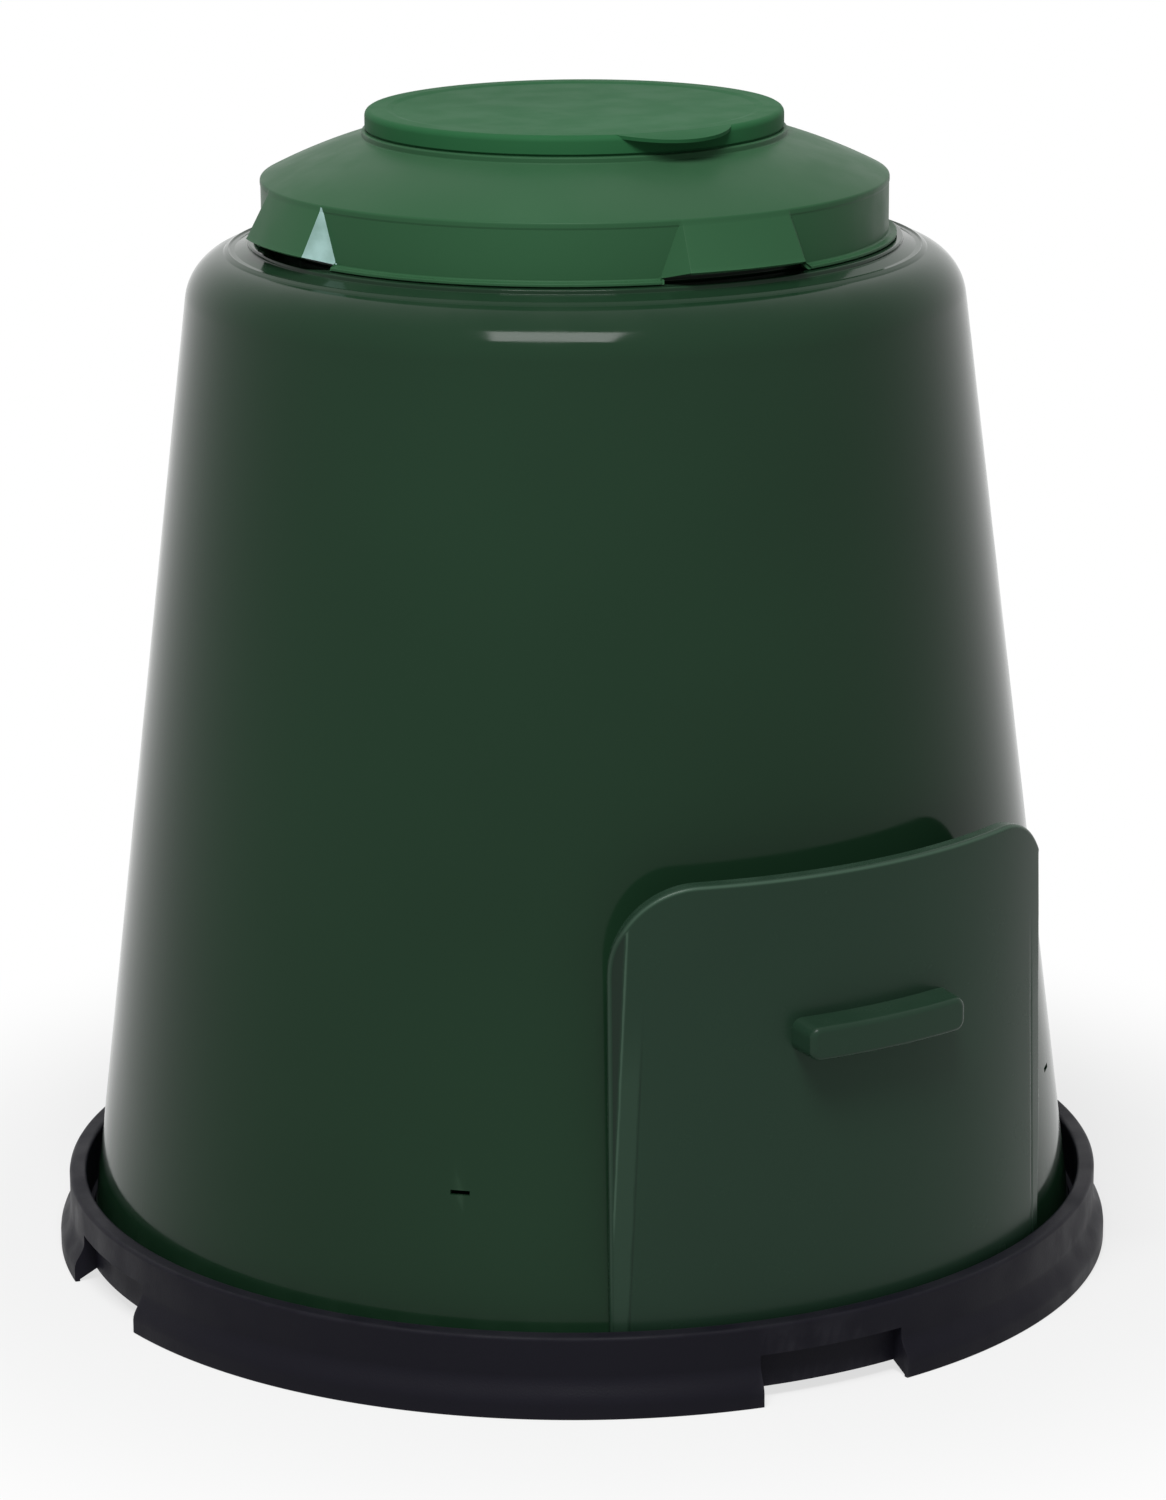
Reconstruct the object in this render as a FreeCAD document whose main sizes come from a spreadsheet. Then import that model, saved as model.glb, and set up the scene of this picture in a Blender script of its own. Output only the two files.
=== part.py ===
"""Garden compost bin with a lid: a conical body on a round ventilated base, with a sliding hatch.

The axis of the bin is Z and the ground is Z 0. Every piece is drawn with the hatch side on +X and is
then turned about Z, so that the hatch of the finished bin faces -Y.
"""
import FreeCAD, Part
import Sketcher
import math
import os
import re

DIMENSIONS = {
    # The tray that the bin stands on: a floor plate inside a hollow rim.
    "base_radius": 400.0,
    "flare_reach": 8.0,
    "rim_height": 58.0,
    "rim_width": 13.0,
    "base_wall": 4.0,
    "flare_bottom": 10.0,
    "flare_top": 30.0,
    "floor_height": 10.0,
    "floor_thickness": 4.0,
    "rim_chamfer": 2.0,
    "notch_width": 116.6,
    "notch_height": 36.0,
    "notch_turn": -6.2,
    "notch_count": 4,
    "web_width": 5.0,
    "ledge_height": 7.5,
    "ledge_width": 3.8,
    "floor_ring_start": 60.0,
    "floor_ring_margin": 19.0,
    "floor_ring_land": 30.0,
    "floor_ring_count": 3,
    "floor_slots_first": 10,
    "floor_slots_added": 12,
    "floor_slot_width": 8.0,
    "floor_rib_width": 4.0,
    # The body: a cone with a rounded shoulder, a bead, a collar and a neck.
    "foot_gap": 4.4,
    "shoulder_radius": 282.9,
    "shoulder_height": 750.1,
    "shoulder_rounding": 40.0,
    "shoulder_slope": 17.0,
    "body_wall": 4.0,
    "bead_inset": 27.9,
    "bead_width": 5.0,
    "bead_bevel": 1.2,
    "bead_height": 1.4,
    "groove_inset": 6.0,
    "groove_depth": 0.8,
    "collar_inset": 9.0,
    "collar_height": 3.3,
    "collar_chamfer": 1.3,
    "collar_width": 19.0,
    "neck_height": 29.5,
    "foot_flange": 21.0,
    "air_slot_width": 14.0,
    "air_slot_height": 3.5,
    "air_slot_level": 149.3,
    "air_slot_turn": -46.75,
    "air_slot_count": 4,
    # The hatch opening in the body and the frame that carries the hatch.
    "opening_side_margin": 25.0,
    "opening_top_margin": 20.0,
    "opening_rounding": 20.0,
    "frame_set_in": 21.6,
    "frame_clearance": 3.2,
    "frame_bottom": 60.0,
    "frame_drop": 39.0,
    "frame_wall": 4.0,
    "lip_width": 6.0,
    "lip_thickness": 2.5,
    # The hatch: a curved upright door with returned edges, hooks and a moulded handle.
    "hatch_rim_clearance": 2.0,
    "hatch_skin": 2.8,
    "hatch_half_arc": 198.6,
    "hatch_top": 377.0,
    "hatch_depth": 11.0,
    "hatch_corner": 64.0,
    "hatch_foot_clearance": 0.5,
    "margin_start": 60.0,
    "margin_slope": 0.047,
    "margin_angle": 39.5,
    "hook_depth": 3.0,
    "hook_bottom": 130.0,
    "hook_top_drop": 28.0,
    "hook_clearance": 1.6,
    "handle_reach": 23.0,
    "handle_half_arc": 65.0,
    "handle_drop": 105.0,
    "handle_height": 22.0,
    "handle_droop": 2.0,
    "handle_bevel": 2.0,
    # The outer lid: a dome on a skirt with four flared air vents.
    "lid_turn": -3.4,
    "lid_wall": 3.0,
    "skirt_clearance": 7.0,
    "lid_edge_overhang": 1.6,
    "lid_edge_height": 15.0,
    "ledge_drop": 1.6,
    "dome_height": 29.5,
    "dome_bow": 400.0,
    "lid_lip_reach": 7.2,
    "lid_lip_height": 2.0,
    "lid_gap": 1.3,
    "mouth_radius": 140.0,
    "mouth_ring_width": 15.0,
    "mouth_ring_height": 4.5,
    "mouth_depth": 11.0,
    "vent_flare": 16.4,
    "vent_mouth_height": 10.0,
    "vent_half_angle": 11.5,
    "vent_foot_angle": 15.2,
    "vent_root_spread": 0.3,
    "vent_root_depth": 9.0,
    "vent_count": 4,
    "seat_rib_width": 4.0,
    "seat_rib_turn": 30.0,
    "seat_rib_reach": 11.0,
    "seat_rib_overlap": 12.0,
    # The inner cap: a disc with a plug ring and a thumb tab.
    "cap_inset": 2.3,
    "cap_rise": 15.0,
    "cap_wall": 3.0,
    "cap_rounding": 6.0,
    "cap_turn": -3.5,
    "dish_inset": 20.7,
    "dish_depth": 1.0,
    "plug_wall": 2.5,
    "plug_depth": 15.0,
    "plug_clearance": 0.8,
    "tab_overlap": 7.7,
    "tab_half_width": 45.3,
    "tab_reach": 23.8,
    "tab_droop": 15.0,
    # The pegs that lock the body to the floor of the tray.
    "peg_radius": 4.0,
    "peg_head_radius": 9.0,
    "peg_head_height": 4.0,
    "peg_barb": 1.6,
    "peg_clearance": 0.3,
    "peg_inset": 12.0,
    "peg_turn": 45.0,
    "peg_count": 4,
}

# Sizes that follow from the driving ones, as formulas. What fits another piece takes its size from it.
DERIVED = {
    "rim_radius": "base_radius - flare_reach",
    "rim_inner": "rim_radius - rim_width",
    "floor_top": "floor_height + floor_thickness",
    "ledge_top": "floor_top + ledge_height",
    "floor_ring_pitch": "(rim_inner - floor_ring_margin - floor_ring_start) / floor_ring_count",
    "floor_slot_length": "floor_ring_pitch - floor_ring_land",
    "foot_radius": "rim_inner - foot_gap",
    "taper": "(foot_radius - shoulder_radius) / (shoulder_height - floor_top)",
    "cone_stretch": "sqrt(1 + taper ^ 2)",
    "slope": "tan(shoulder_slope)",
    "shoulder_turn_cosine": "(taper * cos(shoulder_slope) + sin(shoulder_slope)) / cone_stretch",
    "shoulder_half_turn": "sqrt((1 - shoulder_turn_cosine) / (1 + shoulder_turn_cosine))",
    "wall_across": "body_wall * cone_stretch",
    "wall_up": "body_wall / cos(shoulder_slope)",
    "bead_radius": "shoulder_radius - bead_inset",
    "groove_radius": "bead_radius - groove_inset",
    "collar_radius": "groove_radius - collar_inset",
    "collar_foot": "shoulder_height + (shoulder_radius - collar_radius) * slope",
    "collar_top": "collar_foot + collar_height",
    "neck_radius": "collar_radius - collar_width",
    "neck_top": "collar_top + neck_height",
    "peg_circle": "foot_radius - peg_inset",
    "peg_x": "peg_circle * cos(peg_turn)",
    "peg_y": "peg_circle * sin(peg_turn)",
    "hatch_radius": "rim_inner - hatch_rim_clearance",
    "hatch_inner": "hatch_radius - hatch_skin",
    "hatch_rear": "hatch_radius - hatch_depth",
    "handle_top": "hatch_top - handle_drop",
    "handle_bottom": "handle_top - handle_height",
    "frame_radius": "hatch_inner - frame_clearance",
    "frame_half_arc": "hatch_half_arc - frame_set_in",
    "frame_top": "hatch_top - frame_drop",
    "hook_top": "frame_top - hook_top_drop",
    "opening_bottom": "frame_bottom + frame_wall",
    "opening_top": "frame_top - opening_top_margin",
    "opening_half_width": "frame_half_arc - opening_side_margin",
    "lid_bottom": "collar_top + lid_gap",
    "skirt_radius": "neck_radius + skirt_clearance",
    "lid_edge_radius": "skirt_radius + lid_edge_overhang",
    "lid_edge_level": "neck_top + lid_edge_height",
    "lid_lip_radius": "skirt_radius + lid_lip_reach",
    "vent_reach": "lid_edge_radius + vent_flare",
    "vent_bottom": "collar_top + vent_mouth_height",
    "dome_radius": "mouth_radius + mouth_ring_width",
    "dome_top": "lid_edge_level + dome_height",
    "lid_top": "dome_top + mouth_ring_height",
    "cap_radius": "dome_radius - cap_inset",
    "cap_top": "lid_top + cap_rise",
    "cap_underside": "cap_top - cap_wall",
    "dish_radius": "cap_radius - dish_inset",
    "tab_root": "cap_radius - tab_overlap",
}

# Angle from +X, where the hatch is drawn, to -Y, where it faces.
FRONT = -90.0

doc = FreeCAD.newDocument("compost_bin")


def write_sheet():
    """Put the driving dimensions in a spreadsheet, one alias for each."""
    sheet = doc.addObject("Spreadsheet::Sheet", "Sizes")
    for row, (name, number) in enumerate(DIMENSIONS.items(), start=1):
        sheet.set(f"A{row}", name)
        sheet.set(f"B{row}", str(number))
        sheet.setAlias(f"B{row}", name)
    doc.recompute()
    return sheet


sheet = write_sheet()


def bound(text):
    """The same formula with derived sizes written out and each dimension's name pointed at the sheet."""
    def rewrite(word):
        name = word[0]
        if name in DERIVED:
            return f"({bound(DERIVED[name])})"
        return f"Sizes.{name}" if name in DIMENSIONS else name

    return re.sub(r"[a-z]\w*", rewrite, text)


def value(text):
    """The number that a formula in the sheet's names comes to."""
    number = sheet.evalExpression(bound(str(text)))
    return float(getattr(number, "Value", number))


def cone_radius(height, inset="0"):
    """Radius of the body's cone at a height, or of its inner face with the wall as the inset."""
    return f"(foot_radius - ({height} - floor_top) * taper - {inset})"


def shoulder_bend(radius, height, rounding):
    """Where a rounded corner between the cone and the slope above it starts and ends."""
    reach = f"({rounding} * shoulder_half_turn)"
    start = (f"{radius} + {reach} * taper / cone_stretch", f"{height} - {reach} / cone_stretch")
    end = (f"{radius} - {reach} * cos(shoulder_slope)", f"{height} + {reach} * sin(shoulder_slope)")
    return start, end


def arc_degrees(length, radius):
    """Angle of an arc of that length on that radius."""
    return f"(({length}) / ({radius}) * 180 / pi)"


def new_body(name):
    """An empty body for one piece, or for one lump that pieces are cut or joined from."""
    return doc.addObject("PartDesign::Body", name)


def origin_feature(body, role):
    """A plane or axis of the body's own origin."""
    return next(item for item in body.Origin.OriginFeatures if item.Role == role)


def pin_point(sketch, geometry, end, across, up):
    """Hold one end of a sketch line at a place given by two formulas."""
    for kind, text, axis in (("DistanceX", across, -2), ("DistanceY", up, -1)):
        number = value(text)
        if abs(number) < 1e-9:
            sketch.addConstraint(Sketcher.Constraint("PointOnObject", geometry, end, axis))
            continue
        if number > 0:
            row = sketch.addConstraint(Sketcher.Constraint(kind, -1, 1, geometry, end, number))
            sketch.setExpression(f"Constraints[{row}]", bound(text))
        else:
            row = sketch.addConstraint(Sketcher.Constraint(kind, geometry, end, -1, 1, -number))
            sketch.setExpression(f"Constraints[{row}]", bound(f"-({text})"))


def arc_between(start, end, radius):
    """Anticlockwise arc between two points, bowed left of the way, or right if radius is negative."""
    chord = end - start
    half = chord.Length / 2
    rise = abs(radius) - math.sqrt(max(radius * radius - half * half, 0.0))
    left = FreeCAD.Vector(-chord.y, chord.x, 0).normalize()
    middle = (start + end) * 0.5 + left * math.copysign(rise, radius)
    if radius > 0:
        return Part.Arc(end, middle, start)
    return Part.Arc(start, middle, end)


def draw_outline(sketch, corners):
    """Closed outline. A corner is (across, up), or (across, up, bow) where an arc leads up to it."""
    points = [FreeCAD.Vector(value(corner[0]), value(corner[1]), 0) for corner in corners]
    sides = []
    for index, corner in enumerate(corners):
        start = points[index - 1]
        end = points[index]
        if len(corner) == 2:
            number = sketch.addGeometry(Part.LineSegment(start, end))
            sides.append((number, 1, 2))
            continue
        radius = value(corner[2])
        number = sketch.addGeometry(arc_between(start, end, radius))
        sides.append((number, 2, 1) if radius > 0 else (number, 1, 2))
        row = sketch.addConstraint(Sketcher.Constraint("Radius", number, abs(radius)))
        sketch.setExpression(f"Constraints[{row}]", bound(f"abs({corner[2]})"))
    for index, corner in enumerate(corners):
        side, _, arriving = sides[index]
        next_side, leaving, _ = sides[(index + 1) % len(corners)]
        sketch.addConstraint(Sketcher.Constraint("Coincident", side, arriving, next_side, leaving))
        pin_point(sketch, side, arriving, corner[0], corner[1])


def new_sketch(body, name, outlines, plane="XZ_Plane", offset=None):
    """Sketch on one of the body's own planes, moved by a placement formula where it has an offset."""
    sketch = body.newObject("Sketcher::SketchObject", name)
    sketch.AttachmentSupport = [(origin_feature(body, plane), "")]
    sketch.MapMode = "FlatFace"
    if offset:
        sketch.setExpression("AttachmentOffset", bound(offset))
    for corners in outlines:
        draw_outline(sketch, corners)
    doc.recompute()
    return sketch


def turned(angle):
    """Offset that turns an upright plane about the bin's axis."""
    return f"placement(vector(0; 0; 0); rotation(vector(0; 1; 0); {angle}))"


def raised(height):
    """Offset that lifts a level plane."""
    return f"placement(vector(0; 0; {height}); rotation(vector(0; 0; 1); 0))"


def spin(body, name, outlines, angle="360", turn=None, cut=False):
    """Turn upright outlines about the bin's axis, evenly to both sides of their plane."""
    sketch = new_sketch(body, f"{name}_section", outlines, offset=turned(turn) if turn else None)
    kind = "PartDesign::Groove" if cut else "PartDesign::Revolution"
    feature = body.newObject(kind, name)
    feature.Profile = sketch
    feature.ReferenceAxis = (origin_feature(body, "Z_Axis"), [""])
    feature.Midplane = True
    feature.setExpression("Angle", bound(angle))
    doc.recompute()
    return feature


def press(body, name, outlines, length=None, plane="XY_Plane", cut=False, offset=None, reverse=False):
    """Pad or pocket outlines. With no length the pocket runs out through the piece."""
    sketch = new_sketch(body, f"{name}_outline", outlines, plane, offset)
    feature = body.newObject("PartDesign::Pocket" if cut else "PartDesign::Pad", name)
    feature.Profile = sketch
    feature.Reversed = reverse
    if length is None:
        feature.Type = "ThroughAll"
    else:
        feature.setExpression("Length", bound(length))
    doc.recompute()
    return feature


def blend(body, name, lower, upper, cut=False):
    """Ruled loft between two level sections, each (height, corners)."""
    sketches = []
    for end, (height, corners) in (("low", lower), ("high", upper)):
        sketches.append(new_sketch(body, f"{name}_{end}", [corners], "XY_Plane", raised(height)))
    feature = body.newObject("PartDesign::SubtractiveLoft" if cut else "PartDesign::AdditiveLoft", name)
    feature.Profile = sketches[0]
    feature.Sections = [sketches[1]]
    feature.Ruled = True
    doc.recompute()
    return feature


def around(body, name, features, count):
    """Repeat features evenly round the bin's axis."""
    pattern = body.newObject("PartDesign::PolarPattern", name)
    pattern.Originals = features
    pattern.Axis = (origin_feature(body, "Z_Axis"), [""])
    pattern.Angle = 360
    if isinstance(count, int):
        pattern.Occurrences = count
    else:
        pattern.setExpression("Occurrences", bound(count))
    body.Tip = pattern
    doc.recompute()
    return pattern


def round_edges(body, name, edges, radius):
    """Round the named edges of the body's last feature."""
    last = body.Tip
    fillet = body.newObject("PartDesign::Fillet", name)
    fillet.Base = (last, edges)
    fillet.setExpression("Radius", bound(radius))
    doc.recompute()
    return fillet


def bevel_edges(body, name, edges, width):
    """Bevel the named edges of the body's last feature."""
    last = body.Tip
    bevel = body.newObject("PartDesign::Chamfer", name)
    bevel.Base = (last, edges)
    bevel.setExpression("Size", bound(width))
    doc.recompute()
    return bevel


def combine(kind, name, first, second):
    """Join or cut two lumps into one object."""
    result = doc.addObject(f"Part::{kind}", name)
    result.Base = first
    result.Tool = second
    doc.recompute()
    return result


def put_in_place(piece, label, turn="0"):
    """Name a finished piece and turn it from +X to where it sits."""
    piece.Label = label
    placement = f"placement(vector(0; 0; 0); rotation(vector(0; 0; 1); {FRONT} + {turn}))"
    piece.setExpression("Placement", bound(placement))
    return piece


def rounded_rectangle(left, right, bottom, top, radius):
    """Corners of an upright rectangle with quarter-round corners."""
    return [
        (f"{right} - {radius}", bottom),
        (right, f"{bottom} + {radius}", f"-({radius})"),
        (right, f"{top} - {radius}"),
        (f"{right} - {radius}", top, f"-({radius})"),
        (f"{left} + {radius}", top),
        (left, f"{top} - {radius}", f"-({radius})"),
        (left, f"{bottom} + {radius}"),
        (f"{left} + {radius}", bottom, f"-({radius})"),
    ]


def make_base_tray():
    """Tray with a hollow rim that flares at the foot, a slotted floor, ribs and four hand notches."""
    body = new_body("BaseTray")
    flare = "flare_reach"
    bow = f"((flare_top - flare_bottom) ^ 2 + {flare} ^ 2) / (4 * {flare})"
    flare_middle = "(flare_bottom + flare_top) / 2"
    inner_wall = "(rim_inner + base_wall)"
    spin(body, "tray_shell", [[
        ("0", "floor_height"),
        (inner_wall, "floor_height"),
        (inner_wall, "rim_height - base_wall"),
        ("rim_radius - base_wall", "rim_height - base_wall"),
        ("rim_radius - base_wall", "flare_top"),
        ("base_radius - base_wall", "flare_bottom"),
        ("base_radius - base_wall", "0"),
        ("base_radius", "0"),
        ("base_radius", "flare_bottom"),
        (f"rim_radius + {flare} / 2", flare_middle, f"-({bow})"),
        ("rim_radius", "flare_top", bow),
        ("rim_radius", "rim_height - rim_chamfer"),
        ("rim_radius - rim_chamfer", "rim_height"),
        ("rim_inner + rim_chamfer", "rim_height"),
        ("rim_inner", "rim_height - rim_chamfer"),
        ("rim_inner", "ledge_top"),
        ("rim_inner - ledge_width", "ledge_top"),
        ("rim_inner - ledge_width", "floor_top"),
        ("0", "floor_top"),
    ]])

    # Solid stretches of the rim, each a little longer than its notch, close the notch at its ends.
    notch_angle = arc_degrees("notch_width", "base_radius")
    inside = "(rim_inner + base_wall / 2)"
    block = spin(body, "notch_block", [[
        (inside, "floor_height"),
        ("base_radius - base_wall / 2", "0"),
        ("base_radius - base_wall / 2", "flare_bottom"),
        ("rim_radius - base_wall / 2", "flare_top"),
        ("rim_radius - base_wall / 2", "rim_height - base_wall / 2"),
        (inside, "rim_height - base_wall / 2"),
    ]], angle=arc_degrees("notch_width + 2 * web_width", "base_radius"), turn="notch_turn")
    around(body, "notch_blocks", [block], "notch_count")
    notch = spin(body, "notch", [[
        (inner_wall, "0"),
        ("base_radius + base_wall", "0"),
        ("base_radius + base_wall", "notch_height"),
        (inner_wall, "notch_height"),
    ]], angle=notch_angle, turn="notch_turn", cut=True)
    around(body, "notches", [notch], "notch_count")

    for number in range(int(value("floor_ring_count"))):
        start = f"(floor_ring_start + {number} * floor_ring_pitch)"
        count = f"floor_slots_first + {number} * floor_slots_added"
        rib = f"({start} + floor_slot_length + floor_slot_width)"
        spin(body, f"floor_rib_{number}", [[
            (rib, "0"),
            (f"{rib} + floor_rib_width", "0"),
            (f"{rib} + floor_rib_width", "floor_height + floor_thickness / 2"),
            (rib, "floor_height + floor_thickness / 2"),
        ]])
        slot = press(body, f"floor_slot_{number}", [[
            (start, "-floor_slot_width / 2"),
            (f"{start} + floor_slot_length", "-floor_slot_width / 2"),
            (f"{start} + floor_slot_length", "floor_slot_width / 2"),
            (start, "floor_slot_width / 2"),
        ]], cut=True, reverse=True)
        around(body, f"floor_slots_{number}", [slot], count)

    holes = peg_holes(body, "floor_height", "floor_thickness")
    around(body, "tray_peg_holes", [holes], "peg_count")
    return put_in_place(body, "base_tray")


def peg_holes(body, bottom, depth):
    """Hole for one locking peg, up from a level."""
    sketch = body.newObject("Sketcher::SketchObject", "peg_hole_outline")
    sketch.AttachmentSupport = [(origin_feature(body, "XY_Plane"), "")]
    sketch.MapMode = "FlatFace"
    sketch.setExpression("AttachmentOffset", bound(
        f"placement(vector(peg_x; peg_y; {bottom}); rotation(vector(0; 0; 1); 0))"))
    hole_radius = "peg_radius + peg_clearance"
    sketch.addGeometry(Part.Circle(FreeCAD.Vector(0, 0, 0), FreeCAD.Vector(0, 0, 1), value(hole_radius)))
    sketch.addConstraint(Sketcher.Constraint("Coincident", 0, 3, -1, 1))
    row = sketch.addConstraint(Sketcher.Constraint("Radius", 0, value(hole_radius)))
    sketch.setExpression(f"Constraints[{row}]", bound(hole_radius))
    hole = body.newObject("PartDesign::Pocket", "peg_hole")
    hole.Profile = sketch
    hole.Reversed = True
    hole.setExpression("Length", bound(depth))
    doc.recompute()
    return hole


def make_locking_pegs():
    """Pegs pushed up through the floor of the tray and the foot flange of the body, with a headed tip."""
    body = new_body("LockingPegs")
    body.AllowCompound = True
    grip_top = "floor_top + body_wall"
    peg = body.newObject("Sketcher::SketchObject", "peg_section")
    peg.AttachmentSupport = [(origin_feature(body, "XZ_Plane"), "")]
    peg.MapMode = "FlatFace"
    peg.setExpression("AttachmentOffset", bound(
        "placement(vector(peg_x; 0; -peg_y); rotation(vector(0; 1; 0); 0))"))
    draw_outline(peg, [
        ("0", "floor_height - peg_head_height"),
        ("peg_head_radius", "floor_height - peg_head_height"),
        ("peg_head_radius", "floor_height"),
        ("peg_radius", "floor_height"),
        ("peg_radius", grip_top),
        ("peg_radius + peg_barb", grip_top),
        ("peg_radius - peg_barb", f"{grip_top} + peg_head_height"),
        ("0", f"{grip_top} + peg_head_height"),
    ])
    turned_peg = body.newObject("PartDesign::Revolution", "peg")
    turned_peg.Profile = peg
    turned_peg.ReferenceAxis = (peg, ["V_Axis"])
    turned_peg.Angle = 360
    doc.recompute()
    around(body, "pegs", [turned_peg], "peg_count")
    return put_in_place(body, "locking_pegs")


def make_body_shell():
    """Conical shell with shoulder, bead, collar and neck, the hatch opening and its frame."""
    body = new_body("BodyShell")
    bead_in = "(bead_radius - bead_width / 2)"
    bead_out = "(bead_radius + bead_width / 2)"

    def slope_height(radius):
        return f"(shoulder_height + (shoulder_radius - {radius}) * slope)"

    inner_corner_in = "(wall_across - taper * wall_up) / (1 - taper * slope)"
    inner_corner_radius = f"(shoulder_radius - {inner_corner_in})"
    inner_corner_height = f"(shoulder_height + {inner_corner_in} * slope - wall_up)"
    ledge_underside = "(collar_top - body_wall)"
    ledge_corner = f"({inner_corner_radius} - ({ledge_underside} - {inner_corner_height}) / slope)"
    bend_start, bend_end = shoulder_bend("shoulder_radius", "shoulder_height", "shoulder_rounding")
    inner_bend_start, inner_bend_end = shoulder_bend(
        inner_corner_radius, inner_corner_height, "(shoulder_rounding - body_wall)")
    spin(body, "shell", [[
        ("foot_radius", "floor_top"),
        bend_start,
        (*bend_end, "-shoulder_rounding"),
        (bead_out, slope_height(bead_out)),
        (f"{bead_out} - bead_bevel", f"{slope_height(bead_out)} + bead_height"),
        (f"{bead_in} + bead_bevel", f"{slope_height(bead_in)} + bead_height"),
        (bead_in, slope_height(bead_in)),
        ("groove_radius", f"{slope_height('groove_radius')} - groove_depth"),
        ("collar_radius", "collar_foot"),
        ("collar_radius", "collar_top - collar_chamfer"),
        ("collar_radius - collar_chamfer", "collar_top"),
        ("neck_radius", "collar_top"),
        ("neck_radius", "neck_top"),
        ("neck_radius - body_wall", "neck_top"),
        ("neck_radius - body_wall", ledge_underside),
        (ledge_corner, ledge_underside),
        inner_bend_end,
        (*inner_bend_start, "shoulder_rounding - body_wall"),
        (cone_radius("(floor_top + body_wall)", "wall_across"), "floor_top + body_wall"),
        ("foot_radius - body_wall - foot_flange", "floor_top + body_wall"),
        ("foot_radius - body_wall - foot_flange", "floor_top"),
    ]])

    # The frame stands out from the cone to an upright cylinder just inside the hatch.
    sunk = "body_wall / 2"
    spin(body, "frame", [[
        (cone_radius("frame_bottom", sunk), "frame_bottom"),
        ("frame_radius", "frame_bottom"),
        ("frame_radius", "frame_top"),
        (cone_radius("frame_top", sunk), "frame_top"),
    ]], angle=arc_degrees("2 * frame_half_arc", "frame_radius"))
    spin(body, "frame_lips", [[
        ("frame_radius - lip_thickness", "frame_bottom"),
        ("frame_radius", "frame_bottom"),
        ("frame_radius", "frame_top"),
        ("frame_radius - lip_thickness", "frame_top"),
    ]], angle=arc_degrees("2 * (frame_half_arc + lip_width)", "frame_radius"))
    lintel_underside = "(frame_top - frame_wall)"
    spin(body, "frame_inside", [[
        (cone_radius("frame_bottom"), "frame_bottom"),
        ("frame_radius + lip_thickness", "frame_bottom"),
        ("frame_radius + lip_thickness", lintel_underside),
        (cone_radius(lintel_underside), lintel_underside),
    ]], angle=arc_degrees("2 * (frame_half_arc - frame_wall)", "frame_radius"), cut=True)
    press(body, "hatch_opening", [rounded_rectangle(
        "-opening_half_width", "opening_half_width", "opening_bottom", "opening_top", "opening_rounding",
    )], plane="YZ_Plane", cut=True, reverse=True)

    slot_radius = cone_radius("air_slot_level")
    slot = spin(body, "air_slot", [[
        (f"{slot_radius} - 2 * body_wall", "air_slot_level - air_slot_height / 2"),
        (f"{slot_radius} + body_wall", "air_slot_level - air_slot_height / 2"),
        (f"{slot_radius} + body_wall", "air_slot_level + air_slot_height / 2"),
        (f"{slot_radius} - 2 * body_wall", "air_slot_level + air_slot_height / 2"),
    ]], angle=arc_degrees("air_slot_width", slot_radius), turn="air_slot_turn", cut=True)
    around(body, "air_slots", [slot], "air_slot_count")
    holes = peg_holes(body, "floor_top", "body_wall")
    around(body, "flange_peg_holes", [holes], "peg_count")
    return put_in_place(body, "body_shell")


def hatch_lump(name, inset):
    """The hatch's outer form, or with the skin as the inset the hollow behind it."""
    body = new_body(name)
    rear = "hatch_rear"
    front = f"hatch_radius - {inset}"
    top = f"hatch_top - {inset}"
    half_angle = arc_degrees(f"hatch_half_arc - {inset}", "hatch_radius")
    if inset == "0":
        rear_bottom = f"(floor_top + (foot_radius + hatch_foot_clearance - {rear}) / taper)"
        section = [
            ("hatch_inner", "ledge_top"),
            (front, "ledge_top"),
            (front, top),
            (rear, top),
            (rear, rear_bottom),
        ]
    else:
        section = [
            (f"{rear} - body_wall", "0"),
            (front, "0"),
            (front, top),
            (f"{rear} - body_wall", top),
        ]
    spin(body, f"{name}_block", [section], angle=f"2 * {half_angle}")
    corners = []
    for number, edge in enumerate(body.Shape.Edges, start=1):
        straight = isinstance(edge.Curve, (Part.Line, Part.LineSegment))
        heights = [vertex.Z for vertex in edge.Vertexes]
        if straight and max(abs(height - value(top)) for height in heights) < 0.01:
            corners.append(f"Edge{number}")
    round_edges(body, f"{name}_corners", corners, f"hatch_corner - {inset}")

    # Each side margin is a flat cut that starts low on the edge and widens upward.
    for side, sign in (("left", 1), ("right", -1)):
        margin_cut(body, f"{name}_{side}_margin", sign, inset)
    return body


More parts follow.
